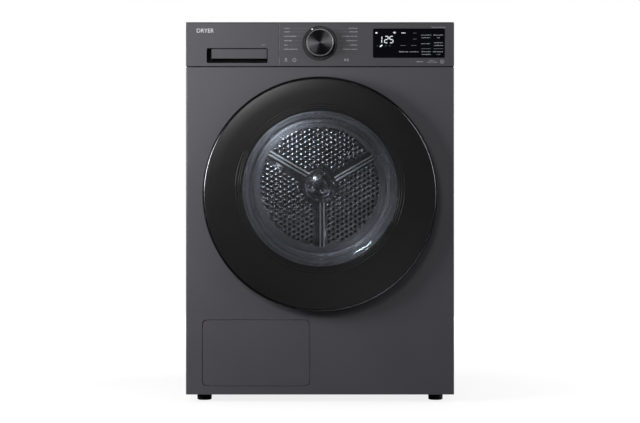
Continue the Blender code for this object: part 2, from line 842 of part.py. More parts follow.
def build_bulkheads():
    """The front bulkhead with its collar, filter chute and roller axles, and the rear one with its bearing."""
    window = (0, 0, WINDOW_CENTRE)
    plate_back = BULKHEAD + 0.004
    front = box("front_bulkhead", (-0.2975, BULKHEAD, 0.195), (0.2975, plate_back, 0.7600), GREY_PLASTIC)
    collar = cylinder("collar", window, 0.1935, FRONT + 0.0025, plate_back - 0.001, steps=LARGE_STEPS)
    chute = box("chute", (-0.110, -0.2765, 0.195), (0.110, BULKHEAD + 0.001, 0.325))
    chute_room = box("chute_room", (-0.1050, -0.2730, 0.18), (0.1050, BULKHEAD, 0.35))
    mouth = cylinder("mouth", window, 0.190, FRONT - 0.02, plate_back + 0.02, steps=LARGE_STEPS)
    fuse(front, chute)
    cut(front, chute_room)
    fuse(front, collar)
    slot = box("filter_slot", (-0.1040, -0.2722, 0.20), (0.1040, BULKHEAD - GAP, 0.34))
    cut(front, mouth, slot)
    for sign in (-1, 1):
        place = roller_place(sign)
        fuse(front, cylinder("roller_axle", place, 0.0040, plate_back - 0.002, -0.2140, steps=12))

    strainer = box("lint_filter", (-0.1025, -0.2708, 0.200), (0.1025, BULKHEAD - 0.0010, 0.330), BLACK_PLASTIC)
    cut(strainer, cylinder("filter_top", window, 0.1908, -0.30, -0.22, steps=LARGE_STEPS))

    turned(
        "drum_front_seal",
        (0, 0, DRUM_AXIS),
        [
            (0.260, plate_back + GAP),
            (0.260, DRUM_FRONT - GAP),
            (0.237, DRUM_FRONT - GAP),
            (0.237, plate_back + GAP),
        ],
        finish=FELT,
    )

    rear = box(
        "rear_bulkhead", (-0.2975, REAR_BULKHEAD, 0.205), (0.2975, REAR_BULKHEAD + 0.004, 0.780), GREY_PLASTIC
    )
    cut(rear, cylinder("air_hole", (0, 0, DRUM_AXIS), 0.180, 0.26, 0.30, steps=LARGE_STEPS))
    for angle in (90, 210, 330):
        arm = box("bearing_arm", (0.0, REAR_BULKHEAD, -0.018), (0.200, REAR_BULKHEAD + 0.004, 0.018))
        for vertex in arm.data.vertices:
            vertex.co += arm.location
        arm.location = (0, 0, DRUM_AXIS)
        arm.rotation_euler.y = -radians(angle)
        fuse(rear, arm)
    seat = cylinder("bearing_seat", (0, 0, DRUM_AXIS), 0.040, 0.2720, 0.2940)
    bore = cylinder("bearing_bore", (0, 0, DRUM_AXIS), BEARING_RADIUS + GAP, 0.26, 0.31)
    fuse(rear, seat)
    cut(rear, bore)
    turned(
        "rear_bearing",
        (0, 0, DRUM_AXIS),
        [
            (BEARING_RADIUS, 0.2745),
            (BEARING_RADIUS, 0.2920),
            (SHAFT_RADIUS + GAP, 0.2920),
            (SHAFT_RADIUS + GAP, 0.2745),
        ],
        finish=STEEL,
        steps=SMALL_STEPS,
    )


def build_rollers():
    for side, sign in (("left", -1), ("right", 1)):
        place = roller_place(sign)
        spin = joint(f"roller_{side}_spin", place)
        turned(
            f"support_roller_{side}",
            place,
            [
                (ROLLER_RADIUS, -0.2355),
                (ROLLER_RADIUS, -0.2165),
                (0.0044, -0.2165),
                (0.0044, -0.2355),
            ],
            finish=RUBBER,
            parent=spin,
            steps=SMALL_STEPS,
        )


# ---------------------------------------------------------------- drive
def belt_tangent(side):
    """The angle, seen from the drum's axis, at which the belt leaves the drum for the motor pulley."""
    to_motor = MOTOR - Vector((0, 0, DRUM_AXIS))
    towards = atan2(to_motor.z, to_motor.x)
    spread = acos((DRUM_RADIUS - PULLEY_RADIUS) / hypot(to_motor.x, to_motor.z))
    return towards + side * spread


def belt_loop(offset):
    """The belt's closed path at a distance from the pulleys' surfaces, as points in the XZ plane."""
    first, last = belt_tangent(1), belt_tangent(-1) + 2 * pi
    points = []
    around_drum, around_pulley = 44, 8
    for step in range(around_drum + 1):
        angle = first + (last - first) * step / around_drum
        reach = DRUM_RADIUS + offset
        points.append((reach * cos(angle), DRUM_AXIS + reach * sin(angle)))
    first, last = belt_tangent(-1), belt_tangent(1)
    for step in range(around_pulley + 1):
        angle = first + (last - first) * step / around_pulley
        reach = PULLEY_RADIUS + offset
        points.append((MOTOR.x + reach * cos(angle), MOTOR.z + reach * sin(angle)))
    return points


def idler_place():
    """The idler rides on the outside of the belt's lower run, a little way from the motor."""
    angle = belt_tangent(-1)
    outward = Vector((cos(angle), 0, sin(angle)))
    start = MOTOR + outward * PULLEY_RADIUS
    along = Vector((sin(angle), 0, -cos(angle)))
    return start + along * 0.060 + outward * (BELT_GAP + BELT_THICKNESS + GAP + IDLER_RADIUS)


def build_drive():
    """Motor with its pulley, the belt round the drum, and the idler on its arm."""
    belt = bpy.data.curves.new("drive_belt", "CURVE")
    belt.dimensions = "2D"
    belt.fill_mode = "BOTH"
    belt.extrude = BELT_WIDTH / 2
    for offset in (BELT_GAP, BELT_GAP + BELT_THICKNESS):
        points = belt_loop(offset)
        spline = belt.splines.new("POLY")
        spline.points.add(len(points) - 1)
        spline.use_cyclic_u = True
        for point, (x, z) in zip(spline.points, points):
            point.co = (x, z, 0, 1)
    piece = add("drive_belt", belt, (0, BELT_PLANE, 0), RUBBER)
    piece.rotation_euler.x = pi / 2

    idler = idler_place()
    half_belt = BELT_WIDTH / 2
    flange = PULLEY_RADIUS + 0.0055
    before, after = BELT_PLANE - half_belt - 0.0005, BELT_PLANE + half_belt + 0.0005
    shaft = 0.006
    spin = joint("motor_spin", MOTOR)
    turned(
        "motor_pulley",
        MOTOR,
        [
            (0, before - 0.0040),
            (flange, before - 0.0040),
            (flange, before - 0.0010),
            (PULLEY_RADIUS, before),
            (PULLEY_RADIUS, after),
            (flange, after + 0.0010),
            (flange, after + 0.0030),
            (shaft, after + 0.0030),
            (shaft, 0.156),
            (0, 0.156),
        ],
        finish=STEEL,
        parent=spin,
        steps=SMALL_STEPS,
    )
    motor = cylinder("motor_housing", MOTOR, 0.050, 0.055, 0.150, finish=ALUMINIUM)
    cradle = box("motor_cradle", (MOTOR.x - 0.046, 0.065, BASE_FLOOR[1] + GAP), (MOTOR.x + 0.046, 0.140, MOTOR.z - 0.02))
    arm_front, arm_back = after + 0.006, after + 0.011
    arm = box("idler_arm", (idler.x - 0.010, arm_front, idler.z - 0.010), (MOTOR.x + 0.010, arm_back, MOTOR.z + 0.012))
    strut = box("arm_strut", (MOTOR.x - 0.030, arm_back - 0.001, MOTOR.z - 0.010), (MOTOR.x - 0.016, 0.060, MOTOR.z + 0.010))
    axle = cylinder("idler_axle", idler, 0.0040, before - 0.002, arm_back - 0.001, steps=12)
    bore = cylinder("motor_bore", MOTOR, shaft + 0.0008, 0.0, 0.20)
    fuse(motor, cradle, strut, arm, axle)
    cut(motor, bore)

    idler_spin = joint("idler_spin", idler)
    turned(
        "idler_pulley",
        idler,
        [
            (IDLER_RADIUS, before),
            (IDLER_RADIUS, after),
            (0.0044, after),
            (0.0044, before),
        ],
        finish=GREY_PLASTIC,
        parent=idler_spin,
        steps=SMALL_STEPS,
    )


def build_fan():
    """The process fan behind the heat exchanger: scroll housing with its motor, and the bladed wheel."""
    housing = turned(
        "fan_housing",
        FAN,
        [
            (0.040, 0.150),
            (0.078, 0.150),
            (0.078, 0.225),
            (0.0755, 0.225),
            (0.0755, 0.1525),
            (0.040, 0.1525),
        ],
        finish=GREY_PLASTIC,
        steps=32,
    )
    motor = cylinder("fan_motor", FAN, 0.026, 0.105, 0.151)
    bar = box("fan_bar", (FAN.x - 0.060, 0.146, FAN.z - 0.007), (FAN.x + 0.060, 0.1515, FAN.z + 0.007))
    stand = box("fan_stand", (FAN.x - 0.030, 0.1520, BASE_FLOOR[1] + GAP), (FAN.x + 0.030, 0.2240, FAN.z - 0.0765))
    fuse(housing, bar, motor, stand)
    cut(housing, cylinder("fan_shaft_bore", FAN, 0.0048, 0.10, 0.16, steps=12))

    spin = joint("fan_spin", FAN)
    wheel = turned(
        "fan_wheel",
        FAN,
        [
            (0, 0.130),
            (0.004, 0.130),
            (0.004, 0.208),
            (0.068, 0.208),
            (0.068, 0.210),
            (0, 0.210),
        ],
        finish=BLACK_PLASTIC,
        parent=spin,
        steps=SMALL_STEPS,
    )
    blades = 12
    for number in range(blades):
        blade = box("fan_blade", (0.046, 0.160, -0.0009), (0.067, 0.209, 0.0009), parent=spin)
        shift = blade.location + spin.location
        for vertex in blade.data.vertices:
            vertex.co += shift
        blade.location = (0, 0, 0)
        blade.rotation_euler.y = 2 * pi * number / blades
        fuse(wheel, blade)


# ---------------------------------------------------------------- heat pump and plumbing
def build_heat_pump():
    floor = BASE_FLOOR[1] + GAP
    left, right, top = -0.262, -0.060, 0.185
    box("evaporator", (left, -0.205, floor + 0.0033), (right, -0.115, top), ALUMINIUM)
    box("condenser", (left, -0.105, floor + 0.0033), (right, 0.060, top), ALUMINIUM)
    duct = box("exchanger_duct", (left - 0.005, -0.222, floor), (right + 0.005, 0.075, top + 0.005), GREY_PLASTIC)
    cut(duct, box("duct_room", (left - 0.002, -0.25, floor + 0.003), (right + 0.002, 0.09, top + 0.002)))

    shell, at = 0.060, (0.095, -0.135, 0)
    turned(
        "compressor",
        at,
        [
            (0, 0.200),
            (0.030, 0.196),
            (0.052, 0.184),
            (shell, 0.168),
            (shell, 0.055),
            (0.052, 0.040),
            (0.052, floor),
            (0, floor),
        ],
        "Z",
        BLACK_PLASTIC,
        steps=SMALL_STEPS,
    )
    cylinder("drain_pump", (0.060, 0, BASE_FLOOR[1] + GAP + 0.028), 0.028, 0.205, 0.262, finish=GREY_PLASTIC)


def smooth_route(corners, spacing):
    """Points at about an even spacing on a smooth curve through the corners."""
    points = []
    padded = [corners[0]] + corners + [corners[-1]]
    for before, start, end, after in zip(padded, padded[1:], padded[2:], padded[3:]):
        count = max(1, round((end - start).length / spacing))
        for step in range(count):
            t = step / count
            points.append(
                0.5
                * (
                    2 * start
                    + (end - before) * t
                    + (2 * before - 5 * start + 4 * end - after) * t**2
                    + (3 * start - before - 3 * end + after) * t**3
                )
            )
    points.append(corners[-1])
    return points


def build_plumbing():
    """The hose that the pump fills the tank through, the drain spigot and the mains cable gland."""
    route = smooth_route(
        [
            Vector(place)
            for place in (
                (0.030, 0.240, 0.100),
                (0.020, 0.262, 0.140),
                (-0.020, 0.292, 0.185),
                (-0.080, 0.299, 0.280),
                (-0.115, 0.299, 0.480),
                (-0.140, 0.299, 0.680),
                (-0.165, 0.298, 0.765),
                (-0.190, 0.288, 0.805),
                (-0.196, 0.262, 0.815),
                (-0.196, 0.242, 0.812),
            )
        ],
        0.030,
    )
    hose = bpy.data.curves.new("tank_fill_hose", "CURVE")
    hose.dimensions = "3D"
    hose.bevel_depth = 0.005
    hose.bevel_resolution = 2
    hose.use_fill_caps = True
    spline = hose.splines.new("POLY")
    spline.points.add(len(route) - 1)
    for point, place in zip(spline.points, route):
        point.co = (*place, 1)
    add("tank_fill_hose", hose, (0, 0, 0), RUBBER)

    outside = REAR_PANEL + GAP
    turned(
        "drain_spigot",
        (-0.200, 0, 0.100),
        [
            (0.0105, 0.3425),
            (0.0115, 0.3330),
            (0.0100, 0.3330),
            (0.0100, outside + 0.003),
            (0.0180, outside + 0.003),
            (0.0180, outside),
            (0.0075, outside),
            (0.0075, 0.3425),
        ][::-1],
        finish=BLACK_PLASTIC,
        steps=16,
    )
    turned(
        "mains_inlet",
        (-0.240, 0, 0.160),
        [
            (0.0100, 0.3360),
            (0.0140, 0.3300),
            (0.0140, outside),
            (0.0040, outside),
            (0.0040, 0.3360),
        ][::-1],
        finish=BLACK_PLASTIC,
        steps=16,
    )


build_base()
build_feet()
build_shell()
build_front_panel()
build_fascia()
build_knob()
build_drawer()
build_flap()
build_door()
build_hinge_bracket()
build_drum()
build_bulkheads()
build_rollers()
build_drive()
build_fan()
build_heat_pump()
build_plumbing()
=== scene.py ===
"""Looks of the clothes dryer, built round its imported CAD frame. Metres, +Z up, the front faces -Y."""

import random  # noqa: E402
from math import cos, hypot, pi, radians, sin, sqrt  # noqa: E402

import bmesh  # noqa: E402
import bpy  # noqa: E402
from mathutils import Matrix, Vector  # noqa: E402


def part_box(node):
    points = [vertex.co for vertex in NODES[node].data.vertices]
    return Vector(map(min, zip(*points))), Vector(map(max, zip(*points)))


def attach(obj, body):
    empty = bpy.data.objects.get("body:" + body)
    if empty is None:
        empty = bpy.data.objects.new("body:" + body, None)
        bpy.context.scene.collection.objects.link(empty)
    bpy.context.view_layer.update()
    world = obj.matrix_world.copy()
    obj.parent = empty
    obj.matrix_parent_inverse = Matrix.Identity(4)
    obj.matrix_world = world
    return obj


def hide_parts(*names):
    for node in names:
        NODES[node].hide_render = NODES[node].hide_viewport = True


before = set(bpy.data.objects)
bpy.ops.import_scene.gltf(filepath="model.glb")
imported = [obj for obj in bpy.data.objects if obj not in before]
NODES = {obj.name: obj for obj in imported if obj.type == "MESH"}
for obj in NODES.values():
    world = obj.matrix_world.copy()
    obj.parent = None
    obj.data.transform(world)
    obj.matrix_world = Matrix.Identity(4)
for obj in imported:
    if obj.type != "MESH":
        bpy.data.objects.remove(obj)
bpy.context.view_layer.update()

random.seed(7)


# ---------------------------------------------------------------- places taken from the frame
def centre_of(node):
    low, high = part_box(node)
    return (low + high) / 2


def radius_of(node):
    low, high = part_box(node)
    return (high.x - low.x) / 2


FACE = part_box("front_panel")[0].y
DOOR = centre_of("door_rim")
DOOR_R = radius_of("door_rim")
WINDOW = centre_of("door_glass_bowl")
BOWL_R = radius_of("door_glass_bowl")
DRUM = centre_of("drum_rear_wall")
DRUM_R = radius_of("drum_shell")
KNOB = centre_of("knob_body")
KNOB_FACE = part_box("knob_body")[0].y
PANEL_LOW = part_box("control_fascia")[0]
DRAWER_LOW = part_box("tank_front")[0]
SCREEN_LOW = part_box("display_glass")[0]
REAR_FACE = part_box("rear_panel")[1].y
MOUTH_R = 0.196  # the front panel's hole for the loading mouth
SERVICE_OPENING = (-0.2638, 0.0358, -0.0226, 0.1846)  # the front panel's hole for the flap: x, z, x, z


# ---------------------------------------------------------------- materials
class Shader:
    """A Principled material with a few helpers for its node tree."""

    def __init__(self, name, colour, roughness, metallic=0.0, **values):
        self.material = bpy.data.materials.new(name)
        self.material.use_nodes = True
        self.nodes = self.material.node_tree.nodes
        self.links = self.material.node_tree.links
        self.main = self.nodes["Principled BSDF"]
        self.colour = colour
        self.roughness = roughness
        self.put("Base Color", (*colour, 1.0))
        self.put("Roughness", roughness)
        self.put("Metallic", metallic)
        for key, value in values.items():
            self.put(key.replace("_", " "), value)
        self.place = self.add("ShaderNodeTexCoord").outputs["Object"]

    def put(self, socket, value):
        self.main.inputs[socket].default_value = value

    def add(self, kind, **settings):
        node = self.nodes.new(kind)
        for key, value in settings.items():
            setattr(node, key, value)
        return node

    def noise(self, scale, detail=3.0, rough=0.5, stretch=(1, 1, 1)):
        mapping = self.add("ShaderNodeMapping")
        mapping.inputs["Scale"].default_value = stretch
        self.links.new(self.place, mapping.inputs["Vector"])
        texture = self.add("ShaderNodeTexNoise")
        texture.inputs["Scale"].default_value = scale
        texture.inputs["Detail"].default_value = detail
        texture.inputs["Roughness"].default_value = rough
        self.links.new(mapping.outputs["Vector"], texture.inputs["Vector"])
        return texture.outputs["Fac"]

    def span(self, source, low, high, start=0.3, end=0.7):
        node = self.add("ShaderNodeMapRange")
        for key, value in (("From Min", start), ("From Max", end), ("To Min", low), ("To Max", high)):
            node.inputs[key].default_value = value
        self.links.new(source, node.inputs["Value"])
        return node.outputs["Result"]

    def vary_colour(self, source, darker, lighter):
        """The base colour runs between two multiples of the material's own colour."""
        ramp = self.add("ShaderNodeValToRGB")
        first, last = ramp.color_ramp.elements
        first.position, last.position = 0.3, 0.7
        first.color = (*(c * darker for c in self.colour), 1)
        last.color = (*(c * lighter for c in self.colour), 1)
        self.links.new(source, ramp.inputs["Fac"])
        self.links.new(ramp.outputs["Color"], self.main.inputs["Base Color"])
        return self

    def vary_roughness(self, source, spread):
        result = self.span(source, self.roughness - spread, self.roughness + spread)
        self.links.new(result, self.main.inputs["Roughness"])
        return self

    def bump(self, source, depth, strength=1.0):
        node = self.add("ShaderNodeBump")
        node.inputs["Distance"].default_value = depth
        node.inputs["Strength"].default_value = strength
        self.links.new(source, node.inputs["Height"])
        self.links.new(node.outputs["Normal"], self.main.inputs["Normal"])
        return self


def make_paint(name, colour, roughness=0.42, metallic=0.45):
    """Satin metallic paint: fine flakes in the base coat and a faint orange peel on top."""
    paint = Shader(name, colour, roughness, metallic, Specular_IOR_Level=0.45)
    flakes = paint.noise(2600.0, 1.0)
    paint.vary_colour(flakes, 0.86, 1.14)
    paint.vary_roughness(paint.noise(9.0, 3.0), 0.025)
    paint.bump(paint.noise(520.0, 2.0), 0.00004, 0.35)
    return paint.material


def make_moulded(name, colour, roughness, grain=0.00005, **values):
    """Moulded plastic with a fine spark-eroded grain and slightly uneven gloss."""
    plastic = Shader(name, colour, roughness, **values)
    plastic.vary_colour(plastic.noise(55.0, 4.0), 0.965, 1.035)
    plastic.vary_roughness(plastic.noise(24.0, 3.0), 0.05)
    plastic.bump(plastic.noise(1500.0, 2.0), grain, 0.5)
    return plastic.material


def make_metal(name, colour, roughness, stretch=(1, 1, 1), scale=900.0, depth=0.00003, **values):
    """Rolled or turned metal; the stretch sets which way its grain runs."""
    metal = Shader(name, colour, roughness, 1.0, **values)
    grain = metal.noise(scale, 3.0, 0.6, stretch)
    metal.vary_colour(grain, 0.90, 1.08)
    metal.vary_roughness(metal.noise(30.0, 4.0), 0.03)
    metal.bump(grain, depth, 0.35)
    return metal.material


PAINT = make_paint("graphite_paint", (0.089, 0.086, 0.097))
PANEL_PAINT = make_paint("panel_paint", (0.078, 0.076, 0.084), 0.40)
BLACK = make_moulded("black_moulding", (0.012, 0.012, 0.013), 0.42)
# Painted shade: a gloss black for the pocket's skins and the strips beside the grip plate.
PAINTED_SHADE_GLOSS = make_moulded("painted_shade_gloss_black", (0.0075, 0.0075, 0.008), 0.10, 0.000008)
POLISH = make_moulded("polished_black", (0.0075, 0.0075, 0.008), 0.07, 0.0, Specular_IOR_Level=1.0)
GREY = make_moulded("grey_moulding", (0.15, 0.15, 0.16), 0.52)
PALE = make_moulded("pale_moulding", (0.50, 0.51, 0.53), 0.45)
RUBBER = make_moulded("rubber_black", (0.016, 0.016, 0.017), 0.72, 0.00009)
BEZEL = make_moulded("bezel_satin", (0.070, 0.070, 0.076), 0.36, 0.00002, metallic=0.4)
TRIM = make_metal("dark_trim_metal", (0.040, 0.040, 0.043), 0.24, (1, 1, 1), 700.0, 0.00001)
CHROME = make_moulded("satin_ring", (0.36, 0.36, 0.37), 0.34, 0.000004, metallic=0.45)
STAINLESS = make_metal("drum_stainless", (0.30, 0.315, 0.345), 0.24, (1, 8, 1), 160.0, 0.000003)
# Painted highlight: a far paler steel than the drum's own, for the arms' beads.
BEAD_PAINTED_HIGHLIGHT = make_metal("bead_painted_highlight", (0.90, 0.92, 0.96), 0.44, (1, 1, 1), 160.0, 0.000002)
PLATE_STEEL = make_metal("drum_plate_steel", (0.205, 0.213, 0.238), 0.50, (1, 8, 1), 160.0, 0.000003)
ZINC = make_metal("zinc_plate", (0.52, 0.53, 0.55), 0.42, (1, 1, 1), 60.0, 0.00004)
FIN_METAL = make_metal("fin_aluminium", (0.62, 0.63, 0.65), 0.36, (1, 1, 9), 300.0)
COPPER = make_metal("copper_pipe", (0.55, 0.24, 0.13), 0.32, (1, 1, 1), 200.0)


def make_felt():
    felt = Shader("felt_seal", (0.34, 0.33, 0.31), 0.95, 0.0, Sheen_Weight=0.3)
    fibres = felt.noise(900.0, 6.0, 0.7)
    felt.vary_colour(fibres, 0.7, 1.25)
    felt.bump(fibres, 0.0004, 0.8)
    return felt.material


def make_knob_face():
    """Dark spun metal: fine concentric lines that throw radial wedges of light."""
    face = Shader("spun_metal", (0.062, 0.062, 0.067), 0.26, 1.0, Anisotropic=0.95, Anisotropic_Rotation=0.125)
    tangent = face.add("ShaderNodeTangent", direction_type="RADIAL", axis="Y")
    face.links.new(tangent.outputs["Tangent"], face.main.inputs["Tangent"])
    offset = face.add("ShaderNodeVectorMath", operation="SUBTRACT")
    offset.inputs[1].default_value = (KNOB.x, KNOB.y, KNOB.z)
    face.links.new(face.place, offset.inputs[0])
    rings = face.add("ShaderNodeTexWave", wave_type="RINGS", rings_direction="Y")
    rings.inputs["Scale"].default_value = 900.0
    rings.inputs["Distortion"].default_value = 0.4
    face.links.new(offset.outputs["Vector"], rings.inputs["Vector"])
    face.vary_colour(rings.outputs["Fac"], 0.88, 1.10)
    face.bump(rings.outputs["Fac"], 0.00001, 0.25)
    return face.material


def make_glass(name, colour, facing, grazing, roughness, **values):
    """Tinted glass: clear where it faces the eye, and denser towards grazing angles."""
    glass = Shader(name, colour, roughness, 0.0, **values)
    weight = glass.add("ShaderNodeLayerWeight")
    weight.inputs["Blend"].default_value = 0.5
    result = glass.span(weight.outputs["Facing"], facing, grazing, 0.0, 1.0)
    glass.links.new(result, glass.main.inputs["Alpha"])
    glass.vary_roughness(glass.noise(14.0, 5.0, 0.6, (1, 1, 3)), 0.012)
    return glass.material


def make_thin_glass(name, colour, facing, roughness):
    """Thin clear glass: a mirror coat that is nearly absent face on and complete at grazing angles."""
    glass = Shader(name, colour, roughness, 1.0)
    weight = glass.add("ShaderNodeLayerWeight")
    weight.inputs["Blend"].default_value = 0.5
    steep = glass.add("ShaderNodeMath", operation="POWER")
    steep.inputs[1].default_value = 5.0
    glass.links.new(weight.outputs["Facing"], steep.inputs[0])
    result = glass.span(steep.outputs["Value"], facing, 0.85, 0.0, 1.0)
    glass.links.new(result, glass.main.inputs["Alpha"])
    glass.vary_roughness(glass.noise(18.0, 4.0), 0.012)
    return glass.material


def make_light(name, colour, strength):
    lit = Shader(name, colour, 0.5)
    lit.put("Emission Color", (*colour, 1.0))
    lit.put("Emission Strength", strength)
    soft = lit.noise(300.0, 1.0)
    lit.vary_colour(soft, 0.92, 1.05)
    return lit.material


FELT = make_felt()
SPUN = make_knob_face()
COVER_GLASS = make_glass("smoked_glass", (0.009, 0.009, 0.0093), 0.34, 0.97, 0.27, Specular_IOR_Level=0.85)
BOWL_GLASS = make_thin_glass("bowl_glass", (0.80, 0.86, 0.90), 0.045, 0.07)
SCREEN = make_moulded("screen_gloss", (0.0030, 0.0030, 0.0048), 0.16, 0.000004, Specular_IOR_Level=0.12)
PRINT = make_moulded("print_grey", (0.36, 0.36, 0.38), 0.60, 0.00001)
RING_BLACK = make_moulded("frame_satin_black", (0.012, 0.012, 0.0125), 0.34, 0.00001)
# Painted highlight: a paler metal for the thin ring at the door glass's edge.
GLASS_EDGE_HIGHLIGHT = make_metal("glass_edge_highlight_metal", (0.20, 0.20, 0.21), 0.22, (1, 1, 1), 300.0, 0.000004)
PRINT_BRIGHT = make_moulded("print_bright", (0.62, 0.62, 0.64), 0.50, 0.00001)
PRINT_DIM = make_moulded("print_dim", (0.17, 0.17, 0.18), 0.60, 0.00001)
LIT = make_light("lit_white", (0.80, 0.82, 0.86), 0.45)
LIT_DIM = make_light("lit_dim", (0.34, 0.35, 0.38), 0.10)
BOARD = make_moulded("board_green_mask", (0.02, 0.10, 0.05), 0.35)
# Painted shade: a near-black for the screws' cross recesses and the drum cups' holes.
HOLE_PAINTED_SHADE = make_moulded("hole_shadow", (0.004, 0.004, 0.005), 0.9)


# ---------------------------------------------------------------- shapes
MM = 0.001


def from_point(radius, y, *points):
    """Profile points given in millimetres from a starting radius and depth, as (radius, y) in metres."""
    return [(radius + out * MM, y + back * MM) for out, back in points]


def linked(name, data):
    made = bpy.data.objects.new(name, data)
    bpy.context.scene.collection.objects.link(made)
    return made


def mesh_from(name, bm):
    mesh = bpy.data.meshes.new(name)
    bm.to_mesh(mesh)
    bm.free()
    return mesh


def evaluated_mesh(item):
    return bpy.data.meshes.new_from_object(item.evaluated_get(bpy.context.evaluated_depsgraph_get()))


def finish_piece(name, bm, materials, body, replaced=(), angle=35.0, recalc=True):
    """Turns a bmesh into a piece with its materials and body, and hides the CAD nodes it stands for."""
    if recalc:
        bmesh.ops.recalc_face_normals(bm, faces=bm.faces)
    mesh = mesh_from(name, bm)
    for polygon in mesh.polygons:
        polygon.use_smooth = True
    mesh.set_sharp_from_angle(angle=radians(angle))
    for material in materials if isinstance(materials, (list, tuple)) else [materials]:
        mesh.materials.append(material)
    piece = linked(name, mesh)
    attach(piece, body)
    if replaced:
        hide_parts(*replaced)
    return piece


def spin_into(bm, centre, profile, steps, closed=True, material=0):
    """Turns a profile of (radius, y) round an axis along Y through the centre. Radius 0 meets on the axis."""
    rings = []
    for radius, y in profile:
        if radius < 1e-7:
            rings.append([bm.verts.new((centre.x, y, centre.z))])
            continue
        ring = []
        for step in range(steps):
            angle = 2 * pi * step / steps
            ring.append(bm.verts.new((centre.x + radius * cos(angle), y, centre.z + radius * sin(angle))))
        rings.append(ring)
    pairs = list(zip(rings, rings[1:]))
    if closed:
        pairs.append((rings[-1], rings[0]))
    for first, second in pairs:
        for step in range(steps):
            after = (step + 1) % steps
            corners = [first[step % len(first)], first[after % len(first)]]
            corners += [second[after % len(second)], second[step % len(second)]]
            unique = list(dict.fromkeys(corners))
            if len(unique) > 2:
                bm.faces.new(unique).material_index = material


def lathe(name, centre, profile, materials, body, replaced=(), steps=128, closed=True, angle=35.0):
    bm = bmesh.new()
    spin_into(bm, centre, profile, steps, closed)
    return finish_piece(name, bm, materials, body, replaced, angle)


def block_into(bm, low, high, edge=0.0, segments=2, material=0):
    low, high = Vector(low), Vector(high)
    made = bmesh.ops.create_cube(bm, size=1.0)["verts"]
    bmesh.ops.scale(bm, vec=high - low, verts=made)
    bmesh.ops.translate(bm, vec=(low + high) / 2, verts=made)
    faces = {face for vert in made for face in vert.link_faces}
    for face in faces:
        face.material_index = material
    if edge:
        edges = {e for vert in made for e in vert.link_edges}
        bmesh.ops.bevel(bm, geom=list(edges), offset=edge, segments=segments, affect="EDGES", profile=0.6)


def outline_box(low_x, low_z, high_x, high_z, corner, steps=8):
    """The points of a rectangle with round corners in the XZ plane, anticlockwise seen from the front."""
    points = []
    for x, z, start in (
        (high_x - corner, high_z - corner, 0),
        (low_x + corner, high_z - corner, 90),
        (low_x + corner, low_z + corner, 180),
        (high_x - corner, low_z + corner, 270),
    ):
        for step in range(steps + 1):
            angle = radians(start + 90 * step / steps)
            points.append((x + corner * cos(angle), z + corner * sin(angle)))
    return points


def slab_into(bm, points, front, back):
    """A flat outline in the XZ plane, given thickness along Y."""
    fronts = [bm.verts.new((x, front, z)) for x, z in points]
    backs = [bm.verts.new((x, back, z)) for x, z in points]
    bm.faces.new(fronts)
    bm.faces.new(backs[::-1])
    for i, after in enumerate([*range(1, len(points)), 0]):
        bm.faces.new((fronts[i], backs[i], backs[after], fronts[after]))


def band_into(bm, points, width, front, back, closed=False):
    """A line of even width along points in the XZ plane, such as an icon's stroke."""
    count = len(points)
    left, right = [], []
    for i, (x, z) in enumerate(points):
        before = points[i - 1] if i or closed else points[i]
        after = points[(i + 1) % count] if i < count - 1 or closed else points[i]
        dx, dz = after[0] - before[0], after[1] - before[1]
        size = hypot(dx, dz) or 1.0
        nx, nz = -dz / size * width / 2, dx / size * width / 2
        left.append((x + nx, z + nz))
        right.append((x - nx, z - nz))
    for i in range(count if closed else count - 1):
        j = (i + 1) % count
        slab_into(bm, [left[i], left[j], right[j], right[i]], front, back)


def cut_away(piece, blocks, angle):
    """Takes plain blocks, given as (low, high), out of a finished piece for good."""
    bm = bmesh.new()
    for low, high in blocks:
        block_into(bm, low, high)
    bmesh.ops.recalc_face_normals(bm, faces=bm.faces)
    cutter = linked("cutter", mesh_from("cutter", bm))
    tool = piece.modifiers.new("notches", "BOOLEAN")
    tool.operation = "DIFFERENCE"
    tool.solver = "EXACT"
    tool.object = cutter
    shaped = evaluated_mesh(piece)
    piece.modifiers.remove(tool)
    shaped.set_sharp_from_angle(angle=radians(angle))
    piece.data = shaped
    bpy.data.objects.remove(cutter)


def circle(x, z, radius, start=0.0, end=360.0, steps=24):
    return [
        (x + radius * cos(radians(start + (end - start) * i / steps)),
         z + radius * sin(radians(start + (end - start) * i / steps)))
        for i in range(steps if end - start >= 360 else steps + 1)
    ]


def greeked_into(bm, front, back, x, z, length, height, right=False):
    """Plain strokes in place of a line of small print; it starts at x, or ends there if right."""
    strokes = []
    at, used = x, 0.0
    while used < length:
        width = random.uniform(0.00055, 0.00130)
        tall = height * random.choice((0.68, 0.68, 0.72, 1.0))
        strokes.append((at, at + width, tall))
        step = width + (0.0011 if random.random() < 0.12 else 0.00042)
        at += step
        used += step
    shift = x - strokes[-1][1] if right else 0.0
    for low_x, high_x, tall in strokes:
        slab_into(bm, outline_box(low_x + shift, z, high_x + shift, z + tall, 0.0002, 1), front, back)


def surface_marks(name, build, face_y, material, body="cabinet", proud=0.00022):
    """Flat marks that stand a hair proud of a face; build(bm, front, back) adds them."""
    bm = bmesh.new()
    build(bm, face_y - proud, face_y + 0.00005)
    return finish_piece(name, bm, material, body)


def weigh(piece):
    """Large flat faces keep their true shading next to small rounded ones."""
    weighted = piece.modifiers.new("flat_shading", "WEIGHTED_NORMAL")
    weighted.mode = "FACE_AREA"
    weighted.keep_sharp = True
    weighted.weight = 100


def dress(node, material, edge, segments, angle):
    """A CAD node that keeps its shape gets its material, softened edges and smooth round faces."""
    piece = NODES[node]
    piece.data.materials.clear()
    piece.data.materials.append(material)
    for polygon in piece.data.polygons:
        polygon.use_smooth = True
    piece.data.set_sharp_from_angle(angle=radians(angle))
    if edge:
        bevel = piece.modifiers.new("soft_edges", "BEVEL")
        bevel.width = edge
        bevel.segments = segments
        bevel.limit_method = "ANGLE"
        bevel.angle_limit = radians(angle)
    weigh(piece)


